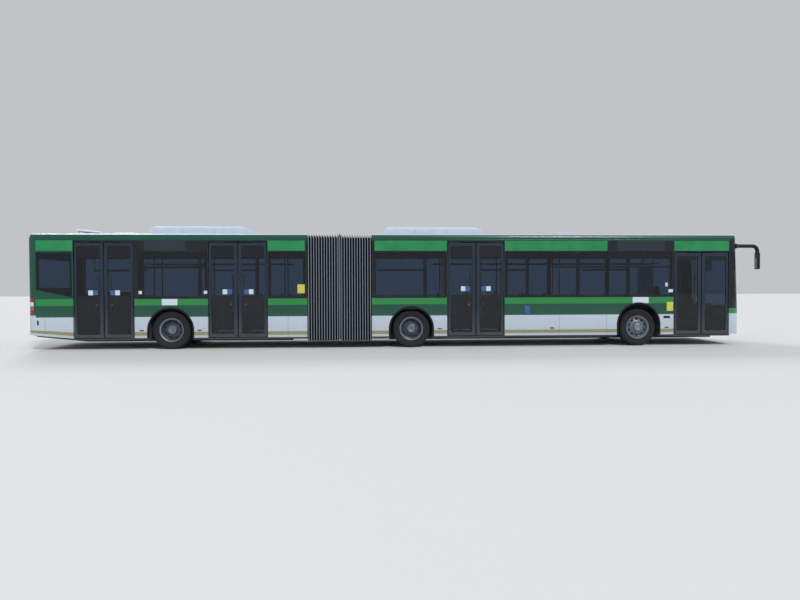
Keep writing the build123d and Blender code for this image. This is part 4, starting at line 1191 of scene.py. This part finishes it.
def addMirror(hand, side):
    x, y, armZ, low, high = mirror["x"], side * mirror["y"], mirror["armZ"], mirror["low"], mirror["high"]
    turn = Matrix.Rotation(math.radians(side * mirror["turn"]), 3, "Z")
    place = Vector((x, y, 0))

    def swing(bm):
        for vert in bm.verts:
            vert.co = turn @ vert.co + place

    halfDepth, halfWidth = mirror["depth"] / 2 - 0.0005, mirror["width"] / 2 - 0.001
    plan = rectangle(-halfDepth, -halfWidth, halfDepth, halfWidth, 0.027, 6)
    levels = (
        (low + 0.0005, 0.9), (low + 0.006, 0.97), (low + 0.02, 1.0), (high - 0.02, 1.0), (high - 0.005, 0.96),
        (high - 0.0005, 0.88),
    )
    foot = [(-0.02, 0.05), (0.015, 0.066), (0.025, 0.066), (0.045, 0.058), (0.06, 0.048)]
    makePiece(
        f"mirrorShell_{hand}", blackPlastic, "front_car", "black_plastic",
        (addLoft, [[(u * share, v * share, z) for u, v in plan] for z, share in levels]), (swing,),
        (addTube, [(noseX - 0.215, y, armZ), (x, y, armZ), (x, y, high - 0.14)], mirror["arm"], 18,
         mirror["bend"], 12),
        (addLathe, foot, (noseAt(y, armZ), y, armZ), 24, "X"), replaced=["mirrors"],
    )
    panes = ((low + 0.02, low + 0.29), (low + 0.305, high - 0.02))
    makePiece(
        f"mirrorGlass_{hand}", mirrorSilver, "front_car", "clear_lamp",
        *[(addPlate, rectangle(-0.1, z0, 0.1, z1, 0.02), "X", -halfDepth - 0.0015, -halfDepth + 0.002, 0.0008)
          for z0, z1 in panes],
        (swing,),
    )


for hand, side in hands:
    addMirror(hand, side)
print("mirrors made")


# ---------------- roof
roofJoints = {"front_car": (2.55, 3.3, 5.6, 7.3), "rear_car": (-2.9, -5.2, -6.6, -7.9, -8.9)}
pods = {"front_car": (middleX - 0.716, middleX + 1.631), "rear_car": (rearX - 0.63, rearX + 1.715)}
# Car, middle x, length, width, height at the rear and front edge, thickness; they stand open on their stays
lids = (
    ("front_car", frontX - 1.6, 0.6, 0.74, 2.998, 2.998, 0.062),
    ("rear_car", rearX - 1.44, 0.6, 0.74, 2.978, 2.978, 0.045),
    ("rear_car", rearX - 2.34, 0.68, 0.92, 3.058, 2.99, 0.04),
)


def makeRoof():
    for car, stations in roofJoints.items():
        low, high = (-0.018, -1.135, roofZ - 0.0015), (0.018, 1.135, roofZ + 0.0025)
        places = [Vector((middleX + s, 0, 0)) for s in stations]
        strips = [(addBlock, place + Vector(low), place + Vector(high), 0.001) for place in places]
        makePiece(f"{car}_roofJoints", roofPaint, car, "white_paint", *strips)
    for car, (low, high) in pods.items():
        seams = []
        for share in (0.36, 0.7):
            x0, x1 = (low + (high - low) * share + half for half in (-0.002, 0.002))
            for side in (-1, 1):
                a, b = sorted((side * 0.9595, side * 0.9606))
                seams.append((addBlock, (x0, a, 2.884), (x1, b, 3.012), 0))
            seams.append((addBlock, (x0, -0.884, 3.0885), (x1, 0.884, 3.0899), 0))
        makePiece(f"{car}_podSeams", sealRubber, car, "black_plastic", *seams)


def addLid(label, car, x, length, width, rear, front, thick):
    def slope(at):
        return rear + (front - rear) * (at - x + length / 2) / length

    rings = []
    for inset, level in ((0.008, -thick), (0.0, 0.008 - thick), (0.0, -0.016), (0.012, -0.004), (0.06, 0.006)):
        u, v = length / 2 - inset, width / 2 - inset
        rings.append([(p.x, p.y, level + slope(p.x)) for p in rectangle(x - u, -v, x + u, v, 0.07, 5)])
    makePiece(f"{car}_hatchLid_{label}", glassFibre, car, "pod_plastic", (addLoft, rings))
    feet = [(x + u * (length / 2 - 0.09), v * (width / 2 - 0.1)) for u in (-1, 1) for v in (-1, 1)]
    makePiece(
        f"{car}_hatchStays_{label}", columnPaint, car, "column_steel",
        *[(addTube, [(u, v, 2.9), (u, v, slope(u) + 0.004 - thick)], 0.009, 8) for u, v in feet],
    )


makeRoof()
for i, lid in enumerate(lids):
    addLid(i + 1, *lid)
print("roof made")


# ---------------- inside the cars
cabin = {"ceiling": 2.83, "railZ": 2.16, "railY": 0.3, "rail": 0.0165, "lightStep": 1.25, "lightY": 0.62}
poleStations = {
    "front_car": (middleX + 0.9, middleX + 2.5, frontX - 1.78, frontX + 0.82),
    "rear_car": (rearX - 0.71, rearX + 0.69, rearNeck - 0.68),
}
seat = {
    "pitch": 0.8, "y": 0.75, "width": 0.43, "single": 0.48,
    "shell": [
        (0.205, 0.405), (0.226, 0.43), (0.214, 0.458), (-0.13, 0.437), (-0.225, 1.02), (-0.25, 1.045),
        (-0.288, 1.02), (-0.205, 0.40), (-0.12, 0.375),
    ],
    "inlays": (
        [(0.19, 0.4575), (-0.105, 0.44), (-0.12, 0.452), (-0.11, 0.464), (0.18, 0.477), (0.196, 0.47)],
        [(-0.139, 0.52), (-0.214, 0.985), (-0.206, 0.996), (-0.194, 0.99), (-0.118, 0.535), (-0.124, 0.522)],
    ),
}
# Middle x and y, the height that it stands on, and seats side by side
seatRows = {
    "front_car": [
        *[(middleX + 1.15 + i * seat["pitch"], seat["y"], floorZ, 2) for i in range(5)],
        *[(middleX + 3.1 + i * seat["pitch"], -seat["y"], floorZ, 2) for i in range(3)],
        (frontX + 1.52, 0.56, 0.504, 1),
    ],
    "rear_car": [
        *[(rearX + s, seat["y"], floorZ, 2) for s in (-1.01, 1.39, 2.19, 2.99)],
        (rearNeck - 0.47, -seat["y"], floorZ, 2),
    ],
}


def addPoles(car, node):
    stations, ceiling, railZ = poleStations[car], cabin["ceiling"], cabin["railZ"]
    flange = [(0.0, 0.042), (0.006, 0.04), (0.009, 0.024), (0.02, 0.0175)]
    clamp = [(-0.03, 0.018), (-0.022, 0.023), (0.022, 0.023), (0.03, 0.018)]
    shapes = []
    for y in (-cabin["railY"], cabin["railY"]):
        for x in stations:
            shapes += [
                (addTube, [(x, y, floorZ + 0.001), (x, y, ceiling - 0.001)], cabin["rail"], 14),
                (addLathe, flange, (x, y, floorZ), 20, "Z"),
                (addLathe, [(-a, r) for a, r in flange], (x, y, ceiling), 20, "Z"),
                (addLathe, clamp, (x, y, railZ), 16, "Z"),
            ]
        shapes.append((addTube, [(stations[0] - 0.25, y, railZ), (stations[-1] + 0.2, y, railZ)], 0.015, 12))
    makePiece(f"{car}_poles", railPaint, car, "rail_tube", *shapes, replaced=[node])


def addSeats(car, node):
    outline = roundCorners(seat["shell"], 0.03, 4)
    shells, inlays, grips = [], [], []
    for x, y, base, count in seatRows[car]:
        width = seat["width"] if count == 2 else seat["single"]
        for i in range(count):
            middle = y + (i - (count - 1) / 2) * width
            low, high = middle - width / 2 + 0.006, middle + width / 2 - 0.006
            shells.append((addPlate, [(x + u, base + v) for u, v in outline], "Y", low, high, 0.008))
            for inlay in seat["inlays"]:
                cushion = [(x + u, base + v) for u, v in inlay]
                inlays.append((addPlate, cushion, "Y", low + 0.03, high - 0.03, 0.01))
        half = width * count / 2
        low, high = y - half + 0.05, y + half - 0.05
        shells.append((addBlock, (x - 0.05, low, base + 0.001), (x + 0.14, high, base + 0.385), 0.012))
        if base == floorZ:
            aisle = y - math.copysign(half - 0.03, y)
            inward, z = aisle + math.copysign(0.2, y), base + 0.9
            path = [(x - 0.27, at, z + up) for at, up in ((aisle, 0), (aisle, 0.19), (inward, 0.19), (inward, 0))]
            grips.append((addTube, path, 0.0125, 10, 0.05))
    makePiece(f"{car}_seatShells", seatShell, car, "seat_shell", *shells, replaced=[node], angle=50)
    pads = makePiece(f"{car}_seatInlays", seatCloth, car, "seat_shell", *inlays, angle=50)
    makePiece(f"{car}_seatGrips", railPaint, car, "rail_tube", *grips)


def addCeilingLights(car, low, high):
    step = cabin["lightStep"]
    count = int((high - low) / step)
    first = (low + high) / 2 - (count - 1) * step / 2
    for label, side in hands:
        bm = bmesh.new()
        addBlock(bm, (-0.58, -0.07, -0.012), (0.58, 0.07, 0.0), 0.005)
        growPiece(
            f"{car}_ceilingLights_{label}", ceilingPanel, car, "white_paint", bm, rowOfCopies, Count=count,
            Step=(step, 0, 0), Start=(first, side * cabin["lightY"], cabin["ceiling"] - 0.0005),
        )


def addPartition(x):
    # Behind the driver: a panel below and glass above in a tube frame
    makePiece(
        "driverPanel", blackPlastic, "front_car", "black_plastic",
        (addBlock, (x - 0.012, 0.33, 0.286), (x + 0.012, 1.195, 1.25), 0.004),
    )
    makePiece(
        "driverScreen", windowGlass, "front_car", "glass",
        (addBlock, (x - 0.004, 0.35, 1.251), (x + 0.004, 1.195, 2.1), 0.001),
    )
    makePiece(
        "driverFrame", railPaint, "front_car", "rail_tube",
        (addTube, [(x, 0.335, 0.286), (x, 0.335, 2.115), (x, 1.195, 2.115)], 0.016, 12, 0.06),
    )


for half in ("front", "rear"):
    addPoles(f"{half}_car", f"{half}_handrails")
    addSeats(f"{half}_car", f"{half}_seats")
addCeilingLights("front_car", frontNeck + 0.2, frontJoint - 0.3)
addCeilingLights("rear_car", rearJoint + 0.2, rearNeck - 0.2)
addPartition(frontX + 1.08)
print("cabins made")


# ---------------- stage and light
stageSetup = {"floor": "#DADADA", "size": 120.0, "sky": "#F2F5F8", "skyStrength": 0.6}


def addStage(setup):
    bm = bmesh.new()
    bmesh.ops.create_grid(bm, x_segments=1, y_segments=1, size=setup["size"])
    floor = addObject("floor", toMesh(bm, "floor"))
    material = newMaterial("studioFloor", Roughness=0.9, Base_Color=setup["floor"])[0]
    floor.data.materials.append(material)


def addSun(name, direction, power, angle):
    # Direction is the way the light travels
    data = bpy.data.lights.new(name, "SUN")
    data.energy = power
    data.angle = math.radians(angle)
    addObject(name, data).rotation_euler = Vector(direction).to_track_quat("-Z", "Y").to_euler()


def addWorld(setup):
    world = bpy.data.worlds.new("studio")
    bpy.context.scene.world = world
    world.use_nodes = True
    tree = world.node_tree
    tree.nodes.clear()
    sky = {"Color": setup["sky"], "Strength": setup["skyStrength"]}
    addNode(tree, "ShaderNodeOutputWorld", {"Surface": addNode(tree, "ShaderNodeBackground", sky).outputs[0]})


addStage(stageSetup)
addWorld(stageSetup)
addSun("keySun", (-0.35, 0.75, -0.75), 1.7, 12)
addSun("backSun", (0.4, -0.8, -0.7), 0.9, 20)
bpy.context.scene.view_settings.view_transform = "Standard"
print("stage made")
